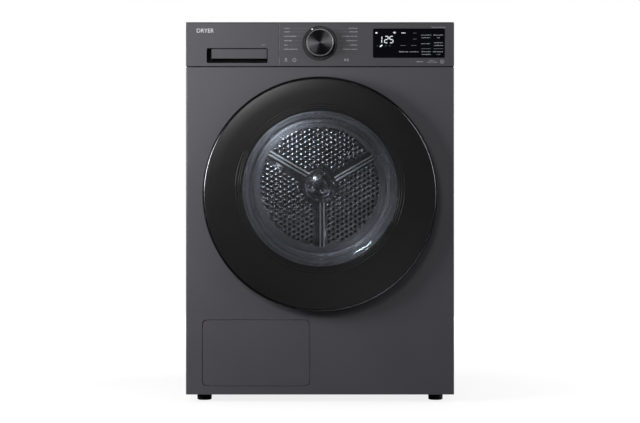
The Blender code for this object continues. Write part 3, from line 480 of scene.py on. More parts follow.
# ---------------------------------------------------------------- cabinet
def hole_sheet(name, low, high, holes, thickness, side_round, body, replaced, material):
    """A front sheet with round upright edges, a rim folded back all round, and holes with folded lips.

    holes are closed outlines in the XZ plane. The flat part is filled as a curve, so its holes are true.
    """
    near = 0.0001
    lip = 0.0040
    curve = bpy.data.curves.new(name + "_outline", "CURVE")
    curve.dimensions = "2D"
    curve.fill_mode = "FRONT"
    left, right = low.x + side_round, high.x - side_round
    outer = [(right, high.z), (left, high.z), (left, low.z), (right, low.z)]
    for outline in [outer] + holes:
        spline = curve.splines.new("POLY")
        spline.points.add(len(outline) - 1)
        spline.use_cyclic_u = True
        for point, (x, z) in zip(spline.points, outline):
            point.co = (x, z, 0, 1)
    holder = linked(name + "_outline", curve)
    mesh = evaluated_mesh(holder)
    bpy.data.objects.remove(holder)
    bm = bmesh.new()
    bm.from_mesh(mesh)
    for vert in bm.verts:
        vert.co = Vector((vert.co.x, low.y, vert.co.y))
    bmesh.ops.remove_doubles(bm, verts=bm.verts, dist=0.00001)
    bm.normal_update()
    if bm.faces[:][0].normal.y > 0:
        bmesh.ops.reverse_faces(bm, faces=bm.faces)
    border = [edge for edge in bm.edges if len(edge.link_faces) == 1]
    middle, half = (low.x + high.x) / 2, (high.x - low.x) / 2

    def upright(edge):
        return abs(edge.verts[0].co.x - edge.verts[1].co.x) < near

    def on_side(edge):
        across = sum(vert.co.x for vert in edge.verts) / 2 - middle
        return abs(abs(across) - half + side_round) < near and upright(edge)

    def pull(edges):
        """Extrudes open edges and gives the new points and the new open edges."""
        made = bmesh.ops.extrude_edge_only(bm, edges=edges)["geom"]
        points = [item for item in made if isinstance(item, bmesh.types.BMVert)]
        lines = [item for item in made if isinstance(item, bmesh.types.BMEdge)]
        return points, [line for line in lines if len(line.link_faces) == 1 and upright(line)]

    sides = [edge for edge in border if on_side(edge)]
    others = [edge for edge in border if not on_side(edge)]
    steps = 6
    for i in range(1, steps + 1):
        angle = (pi / 2) * i / steps
        points, sides = pull(sides)
        for vert in points:
            sign = 1 if vert.co.x > middle else -1
            reach = half - side_round + side_round * sin(angle)
            vert.co = Vector((middle + sign * reach, low.y + side_round * (1 - cos(angle)), vert.co.z))
    for vert in pull(sides)[0]:
        vert.co.y = high.y
    for vert in pull(others)[0]:
        on_edge = abs(vert.co.z - low.z) < near or abs(vert.co.z - high.z) < near
        vert.co.y = high.y if on_edge else low.y + lip
    bmesh.ops.recalc_face_normals(bm, faces=bm.faces)
    if sum(face.calc_area() * face.normal.y for face in bm.faces) > 0:
        bmesh.ops.reverse_faces(bm, faces=bm.faces)
    piece = finish_piece(name, bm, material, body, replaced, recalc=False)
    solid = piece.modifiers.new("sheet", "SOLIDIFY")
    solid.thickness = thickness
    solid.offset = -1
    solid.use_even_offset = True
    weigh(piece)


def build_front():
    low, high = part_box("front_panel")
    door_hole = circle(WINDOW.x, WINDOW.z, MOUTH_R, 0, 360, 128)
    service = outline_box(*SERVICE_OPENING, 0.011, 8)
    hook = centre_of("latch_hook").x
    slot_hole = outline_box(hook - 0.0125, DOOR.z - 0.016, hook + 0.0125, DOOR.z + 0.016, 0.002, 4)
    hole_sheet(
        "front_sheet", low, high, [door_hole, service, slot_hole], 0.0012, 0.003,
        "cabinet", ("front_panel",), PAINT,
    )


def screw_into(bm, x, y, z, radius=0.0042):
    """A pan-head screw with a cross recess on a face that looks along +Y."""
    profile = [
        (radius, y - 0.0002), (radius, y + 0.0008), (radius * 0.8, y + 0.0019), (radius * 0.45, y + 0.0023),
        (radius * 0.34, y + 0.0023), (radius * 0.16, y + 0.0009), (0, y + 0.0008),
    ]
    spin_into(bm, Vector((x, 0, z)), profile, 16, closed=False)
    # The cross recess is drawn as two near-black bars over the head: painted shade in place of a cut recess.
    top = y + 0.00235
    arm, half = radius * 0.62, radius * 0.11
    for dx, dz in ((arm, half), (half, arm)):
        block_into(bm, (x - dx, top - 0.0004, z - dz), (x + dx, top, z + dz), material=1)


def build_rear():
    """Rear panel fixings, and the pressed duct cover with its beads and screws."""
    low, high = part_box("rear_panel")
    inset = 0.012
    bm = bmesh.new()
    for x in (low.x + inset, high.x - inset):
        for z in (0.045, 0.235, 0.430, 0.625, 0.815):
            screw_into(bm, x, REAR_FACE, z)
    for x in (-0.19, -0.06, 0.07, 0.20):
        screw_into(bm, x, REAR_FACE, high.z - inset)
        screw_into(bm, x, REAR_FACE, low.z + inset)
    finish_piece("rear_screws", bm, [ZINC, HOLE_PAINTED_SHADE], "cabinet")

    cover_low, cover_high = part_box("rear_duct_cover")
    centre = centre_of("rear_duct_cover")
    rim = radius_of("rear_duct_cover")
    y0, y1 = cover_low.y, cover_high.y
    profile = from_point(
        0, y1, (0, -3), (30, -3), (36, -0.4), (48, -0.4), (54, -3), (100, -3), (104, 0), (112, 0), (116, -3),
        (148, -3), (152, 0), (160, 0), (164, -3), (186, -3), (190, -1.2), (196, -2), (200, -4.5),
    )
    profile += from_point(0, y0, (208, 4.5), (211, 2), (215, 1.5))
    profile += from_point(rim, y0, (-0.6, 1.5), (0, 1.1), (0, 0))
    profile += [*from_point(0, y0, (211, 0), (205, 3)), *from_point(0, y1, (194, -6), (0, -6))]
    lathe(
        "duct_cover_pressing", centre, profile, ZINC, "cabinet", ("rear_duct_cover",), 144, False, 28.0,
    )
    bm = bmesh.new()
    for number in range(10):
        angle = radians(18 + 36 * number)
        reach = rim - 0.0080
        screw_into(bm, centre.x + reach * cos(angle), y0 + 0.0015, centre.z + reach * sin(angle))
    finish_piece("duct_cover_screws", bm, [ZINC, HOLE_PAINTED_SHADE], "cabinet")


def build_feet():
    for node in ("foot_front_left", "foot_front_right", "foot_rear_left", "foot_rear_right"):
        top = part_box(node)[1].z
        centre = centre_of(node)
        profile = [(0, 0.0)] + from_point(
            radius_of(node), 0, (-3, 0), (-1.2, 0.6), (0, 2.4), (0, 4), (-0.8, 4.6), (-0.8, 5.4), (0, 6),
            (0, 10.2), (-1, 11.8), (-3.5, 12.4),
        )
        profile += from_point(0, 0, (8.8, 12.6), (8, 13), (8, 17.4), (4.8, 17.6))
        profile += from_point(0, top, (4.8, -0.8), (4, 0), (0, 0))
        bm = bmesh.new()
        spin_into(bm, Vector((0, 0, 0)), profile, 48, closed=False)
        for vert in bm.verts:
            vert.co = Vector((centre.x + vert.co.x, centre.y - vert.co.z, vert.co.y))
        finish_piece(f"{node}_pad", bm, RUBBER, node, (node,))


# ---------------------------------------------------------------- control panel
LEFT_LABELS = (
    (0.8352, 0.0115), (0.8272, 0.0115), (0.8172, 0.0270), (0.8074, 0.0165), (0.7977, 0.0072), (0.7883, 0.0300),
)
RIGHT_LABELS = (
    (0.8352, 0.0190), (0.8272, 0.0175), (0.8172, 0.0330), (0.8074, 0.0235), (0.7977, 0.0150), (0.7883, 0.0310),
)


LABEL_X = (0.0805, 0.0832)  # how far the labels' outer ends are to the left and right of the knob


def text_piece(name, words, x, z, height, face_y, material, body):
    """Generic lettering, as a solid mesh that stands a hair proud of a face."""
    curve = bpy.data.curves.new(name, "FONT")
    curve.body = words
    curve.size = height
    curve.align_x = "LEFT"
    curve.extrude = 0.00010
    curve.offset = 0.00006
    holder = linked(name + "_text", curve)
    mesh = evaluated_mesh(holder)
    bpy.data.objects.remove(holder)
    bm = bmesh.new()
    bm.from_mesh(mesh)
    for vert in bm.verts:
        vert.co = Vector((x + vert.co.x, face_y - 0.00008 - vert.co.z, z + vert.co.y))
    return finish_piece(name, bm, material, body, recalc=False)


def build_panel():
    """Programme labels and the lines that join them to the knob, touch icons, and the screen."""
    face = PANEL_LOW.y

    def labels(bm, front, back):
        for rows, x, right in ((LEFT_LABELS, -LABEL_X[0], False), (RIGHT_LABELS, LABEL_X[1], True)):
            for z, length in rows:
                greeked_into(bm, front, back, x, z, length, 0.0026, right)

    surface_marks("programme_labels", labels, face, PRINT)

    def leaders(bm, front, back):
        reach, half = 0.0425, 0.00018
        for side, rows, x in ((-1, LEFT_LABELS, LABEL_X[0]), (1, RIGHT_LABELS, LABEL_X[1])):
            for z, length in rows:
                middle = z + 0.0010
                start = side * (x - length - 0.0035)
                rise = middle - KNOB.z
                end = side * sqrt(max(reach * reach - rise * rise, 0.0185**2))
                if abs(start) > abs(end) + 0.001:
                    ends = min(start, end), middle - half, max(start, end), middle + half
                    slab_into(bm, outline_box(*ends, 0.0001, 1), front, back)

    surface_marks("leader_lines", leaders, face, PRINT_DIM)

    def icons(bm, front, back):
        """A figure, a power mark, a play and pause mark, small captions and a ring with a dot."""
        z = 0.7655
        band_into(bm, circle(-0.0762, z + 0.0018, 0.0020, 0, 360, 16), 0.0010, front, back, True)
        band_into(bm, circle(-0.0762, z - 0.0062, 0.0042, 40, 140, 12), 0.0009, front, back)
        band_into(bm, circle(-0.0573, z, 0.0037, 125, 415, 22), 0.0010, front, back)
        slab_into(bm, outline_box(-0.0578, z + 0.0004, -0.0568, z + 0.0046, 0.0003, 2), front, back)
        slab_into(bm, [(0.0546, z - 0.0031), (0.0546, z + 0.0031), (0.0586, z)][::-1], front, back)
        for x in (0.0600, 0.0623):
            slab_into(bm, outline_box(x, z - 0.0032, x + 0.0012, z + 0.0032, 0.0003, 2), front, back)
        for x, low, length, height in (
            (0.2805, 0.8375, 0.0310, 0.0022), (0.2302, 0.7603, 0.0150, 0.0028),
            (0.2560, 0.7630, 0.0110, 0.0018), (0.2620, 0.7595, 0.0220, 0.0022),
        ):
            greeked_into(bm, front, back, x, low, length, height, True)
        band_into(bm, circle(0.2730, 0.7615, 0.0040, 0, 360, 20), 0.0009, front, back, True)
        slab_into(bm, circle(0.2730, 0.7615, 0.0014, 0, 360, 12), front, back)

    surface_marks("touch_icons", icons, face, PRINT)
    build_screen()


SEGMENTS = {"1": "bc", "2": "abged", "5": "afgcd"}


def digit_into(bm, figure, x, z, width, height, line, front, back):
    """One seven-segment figure, its lower left corner at x, z."""
    half, lean, tip = height / 2, 0.06, line * 0.45
    places = {
        "a": ((line, height), (width - line, height)), "g": ((line, half), (width - line, half)),
        "d": ((line, 0), (width - line, 0)), "f": ((0, half + line * 0.6), (0, height - line * 0.6)),
        "b": ((width, half + line * 0.6), (width, height - line * 0.6)),
        "e": ((0, line * 0.6), (0, half - line * 0.6)), "c": ((width, line * 0.6), (width, half - line * 0.6)),
    }
    for key in SEGMENTS[figure]:
        first, last = (Vector((x + along + up * lean, z + up)) for along, up in places[key])
        run = (last - first).normalized()
        side = Vector((-run.y, run.x)) * line / 2
        slab_into(bm, [
            first - run * tip, first + side, last + side, last + run * tip, last - side, first - side,
        ][::-1], front, back)


def build_screen():
    low, high = SCREEN_LOW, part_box("display_glass")[1]
    bm = bmesh.new()
    slab_into(bm, outline_box(low.x, low.z, high.x, high.z, 0.0028, 8), low.y, high.y)
    rim = [e for e in bm.edges if all(abs(v.co.y - low.y) < 1e-6 for v in e.verts)]
    bmesh.ops.bevel(bm, geom=rim, offset=0.0005, segments=2, affect="EDGES")
    finish_piece("screen", bm, SCREEN, "cabinet", ("display_glass",))

    def figures(bm, front, back):
        """The time, a status spot, three arcs, three dots and a leaf."""
        for figure, x, width, line in (("1", 0.1312, 0.0066, 0.0017), ("2", 0.1442, 0.0074, 0.0016),
                                       ("5", 0.1556, 0.0074, 0.0016)):
            digit_into(bm, figure, x, 0.8036, width, 0.0146, line, front, back)
        slab_into(bm, outline_box(0.1240, 0.8242, 0.1284, 0.8274, 0.0012, 4), front, back)
        for radius in (0.0012, 0.0027, 0.0042):
            band_into(bm, circle(0.1668, 0.8235, radius, 45, 135, 8), 0.0010, front, back)
        for x in (0.1824, 0.1856, 0.1888):
            slab_into(bm, outline_box(x, 0.8247, x + 0.0021, 0.8268, 0.0006, 2), front, back)
        leaf = [
            (0.1335, 0.7942), (0.1362, 0.7946), (0.1392, 0.7968),
            (0.1400, 0.7994), (0.1372, 0.7992), (0.1345, 0.7972),
        ]
        slab_into(bm, leaf[::-1], front, back)

    surface_marks("screen_figures", figures, low.y, LIT)

    def captions(bm, front, back):
        for x, z, length in (
            (0.2262, 0.8200, 0.0215), (0.2275, 0.8142, 0.0180), (0.2540, 0.8200, 0.0215), (0.2615, 0.8142, 0.0060),
            (0.2262, 0.8008, 0.0195), (0.2550, 0.8030, 0.0190), (0.2550, 0.7968, 0.0205),
            (0.2262, 0.7828, 0.0215), (0.2275, 0.7768, 0.0195), (0.2525, 0.7828, 0.0225), (0.2610, 0.7768, 0.0080),
            (0.1768, 0.7828, 0.0190), (0.2000, 0.7828, 0.0200),
        ):
            greeked_into(bm, front, back, x, z, length, 0.0021)

    surface_marks("screen_captions", captions, low.y, LIT_DIM)

    def unlit(bm, front, back):
        for x, z, length in (
            (0.1800, 0.7972, 0.0120), (0.2040, 0.7972, 0.0120), (0.2080, 0.8115, 0.0080), (0.2080, 0.8250, 0.0080),
            (0.1270, 0.7965, 0.0030), (0.1452, 0.7965, 0.0040), (0.1540, 0.7965, 0.0040),
            (0.2262, 0.7900, 0.0215), (0.2540, 0.7900, 0.0215),
        ):
            slab_into(bm, outline_box(x, z, x + length, z + 0.0009, 0.0004, 2), front, back)

    surface_marks("screen_unlit_marks", unlit, low.y, PRINT_DIM, proud=0.00016)


def build_knob():
    """Recessed bezel, the knob's satin side, its bright ring and its spun face."""
    face = PANEL_LOW.y
    bezel_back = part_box("knob_bezel")[1].y
    outer = radius_of("knob_bezel")
    well_r = 0.0335
    bm = bmesh.new()
    groove = from_point(outer, face, (0, 0.6), (-0.4, 1.6), (-1.6, 1.8), (-2, 0.6))
    land = from_point(outer, face, (-2, 0.6), (-2.1, -0.2), (-2.4, -0.4))
    land += from_point(well_r, face, (1.1, -0.3), (0.7, 0.2))
    well = from_point(well_r, face, (0.7, 0.2), (0.3, 1.2), (0, 3))
    well += [(well_r, bezel_back), (outer, bezel_back), (outer, face + 0.0006)]
    for profile, material in ((groove, 1), (land, 0), (well, 1)):
        spin_into(bm, KNOB, profile, 96, False, material)
    bmesh.ops.remove_doubles(bm, verts=bm.verts, dist=0.000005)
    finish_piece("bezel_ring", bm, [BEZEL, BLACK], "cabinet", ("knob_bezel",))
    front, back = (corner.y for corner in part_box("knob_trim_ring"))
    radius = radius_of("knob_trim_ring")
    profile = from_point(radius, front, (-1.6, 1), (-1.3, 0.2), (-0.9, 0), (-0.5, 0.2), (-0.1, 0.8), (0, 1.4))
    profile += from_point(radius, back, (0, 0), (-1.6, 0))
    lathe("knob_ring", KNOB, profile, CHROME, "knob", ("knob_trim_ring",), 96, angle=50)
    inner = radius - 0.0017
    bm = bmesh.new()
    spun = [(0, KNOB_FACE + 0.0008), (inner * 0.5, KNOB_FACE + 0.00085)]
    spun += [*from_point(inner, KNOB_FACE, (-0.6, 0.9), (0, 1.4)), (inner, back + 0.0001)]
    spin_into(bm, KNOB, spun, 96, False, 0)
    spin_into(bm, KNOB, [(inner, back + 0.0001), (radius - 0.0006, back + 0.0001)], 96, False, 1)
    side = from_point(radius, back, (-0.6, 0.1), (-0.4, 1.2))
    ridges = 9
    start, end, stem = back + 0.0012, face + 0.0040, -0.2800
    for i in range(ridges):
        y = start + (end - start) * i / ridges
        r = radius - 0.0004 + 0.0008 * i / ridges
        side += from_point(r, y, (0, 0), (0, 1.2), (-0.3, 1.4), (-0.3, 1.7))
    side += [(radius + 0.0004, end - 0.0004), (radius, end), (0.0030, end), (0.0030, stem), (0, stem)]
    spin_into(bm, KNOB, side, 96, False, 1)
    bmesh.ops.remove_doubles(bm, verts=bm.verts, dist=0.000005)
    finish_piece("knob_turned", bm, [SPUN, BLACK], "knob", ("knob_body",), 28.0)

    angle, reach = radians(119), 0.0362
    spot = circle(KNOB.x + reach * cos(angle), KNOB.z + reach * sin(angle), 0.0017, 0, 360, 20)
    bm = bmesh.new()
    slab_into(bm, spot, face - 0.0008, face - 0.0002)
    finish_piece("bezel_light", bm, LIT, "cabinet")


# ---------------------------------------------------------------- water drawer
def build_drawer():
    """Painted shade in the pocket, as black skins on its walls and back and dark strips beside its grip plate, and
    the drawer's marks.
    """
    face = DRAWER_LOW.y
    x0, x1, z0, z1 = -0.2535, -0.1170, 0.7585, 0.7920
    front, back = face + 0.0012, face + 0.0315
    skin = 0.0004
    # Thin black skins on the pocket's sides, floor and back: painted shade for the deep recess round the grip
    # plate.
    bm = bmesh.new()
    block_into(bm, (x0, front, z0), (x0 + skin, back, z1))
    block_into(bm, (x1 - skin, front, z0), (x1, back, z1))
    block_into(bm, (x0, front, z0), (x1, back, z0 + skin))
    block_into(bm, (x0, back - skin, z0), (x1, back, z1))
    finish_piece("pocket_painted_shade", bm, PAINTED_SHADE_GLOSS, "drawer")

    # The grip plate stops short of the pocket's top and right edges; dark strips on the plate's front draw that
    # narrow gap as painted shade.
    bm = bmesh.new()
    plate_y, gap_x = face + 0.0068, x1 - 0.0022
    block_into(bm, (gap_x, plate_y, 0.7692), (x1 - skin, plate_y + skin, z1 - skin))
    block_into(bm, (x0 + 0.0105, plate_y, z1 - 0.0016), (gap_x, plate_y + skin, z1 - skin))
    finish_piece("grip_gap_painted_shade", bm, PAINTED_SHADE_GLOSS, "drawer")

    text_piece("panel_word", "DRYER", -0.2765, 0.8266, 0.0128, face, PRINT_BRIGHT, "drawer")

    def capacity(bm, front, back):
        greeked_into(bm, front, back, -0.1325, 0.7972, 0.0105, 0.0042)

    surface_marks("drawer_mark", capacity, face, PRINT_DIM, "drawer")


# ---------------------------------------------------------------- door
def build_door():
    y0, y1 = (corner.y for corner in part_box("door_rim"))
    rim = from_point(
        DOOR_R, y0, (-4.4, 1.6), (-3.6, 0.2), (-2.6, 0), (-1.8, 0.6), (-0.6, 4), (0, 6.6),
    )
    rim += [*from_point(DOOR_R, y1, (0, -0.6), (-0.6, 0), (-5, 0)), (DOOR_R - 0.0050, y0 + 0.0016)]
    ring = lathe("door_rim_ring", DOOR, rim, TRIM, "door", ("door_rim",), 192, angle=24)
    # A notch for each ear of the hinge bracket, which swings through the rim's rear edge.
    hinge_z = centre_of("hinge_bracket").z
    cut_away(ring, [
        ((0.2355, y0 + 0.0033, hinge_z + ear - 0.006), (0.2700, y1 + 0.02, hinge_z + ear + 0.006))
        for ear in (-0.044, 0.044)
    ], 24)
    # A paler metal ring just inside the rim's dark bevel. It reflects the lamps, and its pale colour adds a
    # painted highlight for the bright line at the glass's edge.
    line = from_point(DOOR_R, y0, (-5.6, 1.2), (-5.3, 0.4), (-4.8, 0.6), (-4.6, 2.6), (-5.6, 2.6))
    lathe("door_edge_highlight", DOOR, line, GLASS_EDGE_HIGHLIGHT, "door", (), 192, angle=30)
    # The tinted cover, in one sheet, dished very slightly.
    edge, front = min(radius_of("door_cover"), DOOR_R - 0.0057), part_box("door_cover")[0].y
    cover = from_point(0, front, (0, 0), (60, 0.05), (120, 0.2), (180, 0.6), (225, 1.2), (246, 2))
    cover += [*from_point(edge, front, (-1.2, 3.1), (0, 4.2), (0, 5.2), (-1, 5.5)), (0, front + 0.0055)]
    lathe("door_cover_glass", DOOR, cover, COVER_GLASS, "door", ("door_cover",), 192, False)
    # Polished steps round the window behind the glass, which catch the lights as short arcs.
    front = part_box("door_frame")[0].y + 0.0002
    for number, (radius, height) in enumerate(((0.1770, 0.0014), (0.1815, 0.0014), (0.1875, 0.0012))):
        step = [
            (radius + across, front - height * rise)
            for across, rise in ((-0.0010, 0), (-0.0005, 0.6), (0, 0.75), (0.0005, 0.6), (0.0010, 0))
        ]
        lathe(f"window_step_{number}", WINDOW, step, POLISH, "door", (), 160, False, 60.0)
    build_bowl()
    build_door_fittings()


def build_bowl():
    """The pressed glass bowl, with the stepped rings that its mould leaves."""
    front, back = (corner.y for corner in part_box("door_glass_bowl"))
    outside = [
        (BOWL_R, front + 0.0004), (BOWL_R, -0.3100), (0.1728, -0.3086), (0.1712, -0.3040), (0.1700, -0.2960),
        (0.1680, -0.2820), (0.1668, -0.2780), (0.1640, -0.2725), (0.1625, -0.2680), (0.1600, -0.2460),
        (0.1570, -0.2240), (0.1548, -0.2080), (0.1524, -0.1994), (0.1485, -0.1930), (0.1440, -0.1904),
    ]
    outside += from_point(0, back, (138, -0.9), (100, -0.3), (50, -0.1), (0, 0))
    inside = from_point(0, back, (0, -4), (50, -4.2), (100, -4.6), (134, -5.4))
    inside += [
        (0.1400, -0.1950), (0.1440, -0.1966), (0.1468, -0.1992), (0.1486, -0.2030), (0.1500, -0.2085),
        (0.1514, -0.2230), (0.1524, -0.2380), (0.1530, -0.2436),
    ]
    tread = ((0.6, -1.4), (1.6, -2.4), (2.8, -2.9), (4, -3.2), (4.6, -3), (5, -3.2), (5.6, -4.4))
    inside += from_point(0.1530, -0.2436, *tread)
    inside += [(0.1592, -0.2580), (0.1602, -0.2700)]
    inside += from_point(0.1610, -0.2760, *tread)
    inside += [(0.1674, -0.2900), (0.1684, -0.2990), (0.1690, -0.3040), (0.1696, -0.3150)]
    inside += [(0.1704, front + 0.0012), (0.1716, front + 0.0002), (BOWL_R - 0.0008, front)]
    lathe("glass_bowl", WINDOW, inside + outside, BOWL_GLASS, "door", ("door_glass_bowl",), 160,
          angle=60.0)


def build_door_fittings():
    outer = radius_of("door_seal")
    y0, y1 = (corner.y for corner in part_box("door_seal"))
    lip = [
        *from_point(outer, y0, (-1.5, 0), (-0.4, 0.8)),
        *from_point(outer, y1, (0, -0.8), (-1.4, -0.2), (-3.4, 0), (-5.2, -0.6)),
        *from_point(outer, y0, (-6.4, 1.4), (-7, 0)),
    ]
    lathe("door_lip_seal", WINDOW, lip, RUBBER, "door", ("door_seal",), 160, angle=50)
    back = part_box("door_back_frame")[1].y
    reach = 0.2270
    bm = bmesh.new()
    for number in range(12):
        angle = radians(15 + 30 * number)
        x, z = WINDOW.x + reach * cos(angle), DOOR.z + reach * sin(angle)
        if abs(z - DOOR.z) > 0.075 or x < 0:
            screw_into(bm, x, back, z, 0.0036)
    finish_piece("door_back_screws", bm, [ZINC, HOLE_PAINTED_SHADE], "door")


# ---------------------------------------------------------------- drum
ARMS = {30: (-0.0080, 0.0000), 150: (-0.0135, -0.0045), 270: (0.0010, 0.0095)}
ARM_HALF = 0.0165
HUB_R = 0.0440
FIELD_R = 0.1530
PITCH = 0.0129


def build_drum():
    build_drum_wall()
    build_drum_shell()
    outer = radius_of("drum_front_seal")
    inner = outer - 0.0230
    y0, y1 = (corner.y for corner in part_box("drum_front_seal"))
    felt = [
        *from_point(outer, y0, (-0.8, 0), (0, 1.5)), *from_point(outer, y1, (0, -1.5), (-1.2, 0)),
        *from_point(inner, y1, (1.2, 0), (0, -1.8)), *from_point(inner, y0, (0, 1.8), (1.2, 0)),
    ]
    lathe("drum_felt_ring", DRUM, felt, FELT, "cabinet", ("drum_front_seal",), angle=60)


def on_arm(x, z):
    """Whether a point is on one of the wall's three arms."""
    for arm in ARMS:
        ux, uz = cos(radians(arm)), sin(radians(arm))
        if x * ux + z * uz > 0 and abs(-x * uz + z * ux) < ARM_HALF + PITCH * 0.36:
            return True
    return False


def cells():
    """The centres of the wall's hexagonal cells, from the drum's axis."""
    for column in range(-14, 15):
        for row in range(-14, 15):
            yield column * PITCH * sqrt(3) / 2, (row + (0.5 if column % 2 else 0.0)) * PITCH


def cell_ring(bm, cx, cz, y):
    """A cell's six corners and the middles of its six sides."""
    ring = []
    for step in range(12):
        angle, reach = radians(30 * step), PITCH / 2 if step % 2 else PITCH / sqrt(3)
        ring.append(bm.verts.new((cx + reach * cos(angle), y, cz + reach * sin(angle))))
    return ring


def dimple_into(bm, cx, cz, y):
    """One embossed, pierced cup of the drum's rear wall on a twelve-sided cell; a near-black disc of painted shade
    closes its hole.
    """
    rings = [cell_ring(bm, cx, cz, y)]
    for radius, lift in (
        (0.0060, -0.0002), (0.0049, -0.0010), (0.0045, -0.0012), (0.0040, -0.0009), (0.0036, 0.0003),
        (0.0032, 0.0022),
    ):
        rings.append([
            bm.verts.new((cx + radius * cos(radians(30 * i)), y + lift, cz + radius * sin(radians(30 * i))))
            for i in range(12)
        ])
    for level, (first, second) in enumerate(zip(rings, rings[1:])):
        for step in range(12):
            after = (step + 1) % 12
            face = bm.faces.new((first[step], first[after], second[after], second[step]))
            # The hole's inner wall and its closing disc take the near-black: painted shade for the pierced hole.
            face.material_index = 1 if level >= 4 else 0
    bm.faces.new(rings[-1]).material_index = 1


def build_drum_wall():
    """The drum's rear wall: a field of pierced cups, three smooth arms with beads, and a domed hub."""
    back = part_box("drum_rear_wall")[1].y
    y = back - 0.0048
    bm, skin = bmesh.new(), bmesh.new()
    for x, z in cells():
        reach = hypot(x, z)
        if HUB_R + PITCH * 0.50 < reach < FIELD_R - PITCH * 0.42 and not on_arm(x, z):
            dimple_into(bm, DRUM.x + x, DRUM.z + z, y)
        elif reach <= FIELD_R + PITCH * 0.1:
            # Plain metal fills the field between the cups and its rim, the arms and the hub.
            skin.faces.new(cell_ring(skin, DRUM.x + x, DRUM.z + z, y + 0.0001))
    bmesh.ops.remove_doubles(bm, verts=bm.verts, dist=0.00002)
    finish_piece("drum_cups", bm, [STAINLESS, HOLE_PAINTED_SHADE], "drum", (), 50.0, recalc=False)

    outer = radius_of("drum_rear_wall")
    front, under = y + 0.0002, back - 0.0016
    plate = [(0, under), (FIELD_R - 0.0040, under)]
    plate += from_point(FIELD_R, front, (-3.4, 0.4), (-1, -0.2), (1, -0.5))
    plate += from_point(
        0, front, (170, -0.4), (172, 0), (176, -3), (180, -4.4), (228, -4.4), (233, -3.4), (244, 0),
    )
    plate += [*from_point(outer, front, (-2, 0), (0, 1)), (outer, back), (0, back)]
    lathe(
        "drum_wall_plate", DRUM, plate, PLATE_STEEL, "drum", ("drum_rear_wall",), 160, False, 40.0,
    )
    finish_piece("drum_wall_skin", skin, STAINLESS, "drum", (), 40.0, recalc=False)
    for number, (arm, beads) in enumerate(ARMS.items()):
        bm = bmesh.new()
        arm_section(bm, arm, beads, front)
        finish_piece(f"drum_wall_arm_{number}", bm, [STAINLESS, BEAD_PAINTED_HIGHLIGHT], "drum", (), 40.0,
                     recalc=False)
    build_hub(front)


def arm_section(bm, arm, beads, y):
    """A smooth raised arm with narrow pressed beads, swept from the hub to the rim."""
    half = ARM_HALF
    section = [(-half, 0.0006), (-half + 0.0007, -0.0003), (-half + 0.0010, -0.0006)]
    # Each bead's middle faces take the pale bead steel: a painted highlight along the bead.
    painted_highlight_faces = []
    for bead in beads:
        painted_highlight_faces += range(len(section), len(section) + 5)
        section += from_point(
            bead, 0, (-2, -0.7), (-1.3, -1.5), (-0.5, -2.4), (0.5, -2.4), (1.3, -1.5), (2, -0.7),
        )
    section += [(half - 0.0010, -0.0006), (half - 0.0007, -0.0003), (half, 0.0006)]
    ux, uz = cos(radians(arm)), sin(radians(arm))
    start, end = HUB_R - 0.0060, FIELD_R + 0.0010
    rows = [
        [
            bm.verts.new((DRUM.x + along * ux - across * uz, y + lift * fade, DRUM.z + along * uz + across * ux))
            for across, lift in section
        ]
        for along, fade in (
            (start, 1.0), (0.5 * (start + end), 1.0), (end - 0.0012, 1.0), (end - 0.0005, 0.7), (end, 0.1),
        )
    ]
    for first, second in zip(rows, rows[1:]):
        for i in range(len(section) - 1):
            face = bm.faces.new((first[i], first[i + 1], second[i + 1], second[i]))
            face.material_index = 1 if i in painted_highlight_faces else 0
    bm.normal_update()
    for face in bm.faces:
        if face.normal.y > 0:
            face.normal_flip()


def build_hub(y):
    """The pressed dome over the shaft, with its ring of small dimples."""
    dome = from_point(
        0, y, (0, -11.2), (7, -11.1), (14, -10.6), (20, -9.6), (24, -8), (26.2, -6.6), (28, -6), (33, -5.7),
        (38, -5.4), (40.2, -4.8), (41, -5.2), (41.8, -5), (42.8, -3), (44, 0.4), (44, 1), (0, 1),
    )
    lathe("drum_hub_dome", DRUM, dome, STAINLESS, "drum", (), 96, False, 50.0)
    bm = bmesh.new()
    for ring, count, lift, first in ((0.0340, 6, -0.0057, 15), (0.0150, 3, -0.0104, 45)):
        for number in range(count):
            angle = radians(first + 360 * number / count)
            spot = Vector((DRUM.x + ring * cos(angle), 0, DRUM.z + ring * sin(angle)))
            dimple = from_point(
                0, y + lift, (4.6, 0.6), (4.2, -0.6), (3.4, -1.2), (2.6, -1), (1.4, 0.2), (0, 0.4),
            )
            spin_into(bm, spot, dimple, 20, False)
    finish_piece("drum_hub_bolts", bm, STAINLESS, "drum", (), 55.0)


def build_drum_shell():
    """Rolled shell with its two beads and the front flange."""
    r, t = DRUM_R, 0.0012
    y0, y1 = (corner.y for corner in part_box("drum_shell"))
    flange = 0.2350
    bead = ((60, 0.0), (64, 0.0020), (70, 0.0020), (74, 0.0))
    levels = [(y0 + 0.002, 0.0)] + [(y0 + at * MM, depth) for at, depth in bead]
    levels += [(y1 - at * MM, depth) for at, depth in bead[::-1]] + [(y1 - 0.001, 0.0)]
    profile = [(flange + 0.0008, y0), (r - 0.0030, y0), (r - 0.0008, y0 + 0.0006)]
    profile += [(r - depth, y) for y, depth in levels] + [(r - t, y1)]
    profile += [(r - depth - t, y) for y, depth in levels[::-1]] + [(r - 0.0040, y0 + 0.0014)]
    profile += from_point(flange, y0, (1.6, 1.4), (0, 2.4), (-0.6, 1.2))
    lathe("drum_rolled_shell", DRUM, profile, STAINLESS, "drum", ("drum_shell",), 144, angle=40.0)


# ---------------------------------------------------------------- inside and underneath
def build_loading_mouth():
    """The moulded collar, seen with the door open."""
    collar = from_point(0, FACE + 0.0024, (193.6, 0), (192.5, -0.4), (190.5, 0), (189.7, 1.2), (189.6, 4))
    collar += [(0.1898, -0.2540), (0.1899, -0.2500), (0.1902, -0.2448)]
    lathe("mouth_collar", WINDOW, collar, GREY, "cabinet", (), 144, False, 50.0)


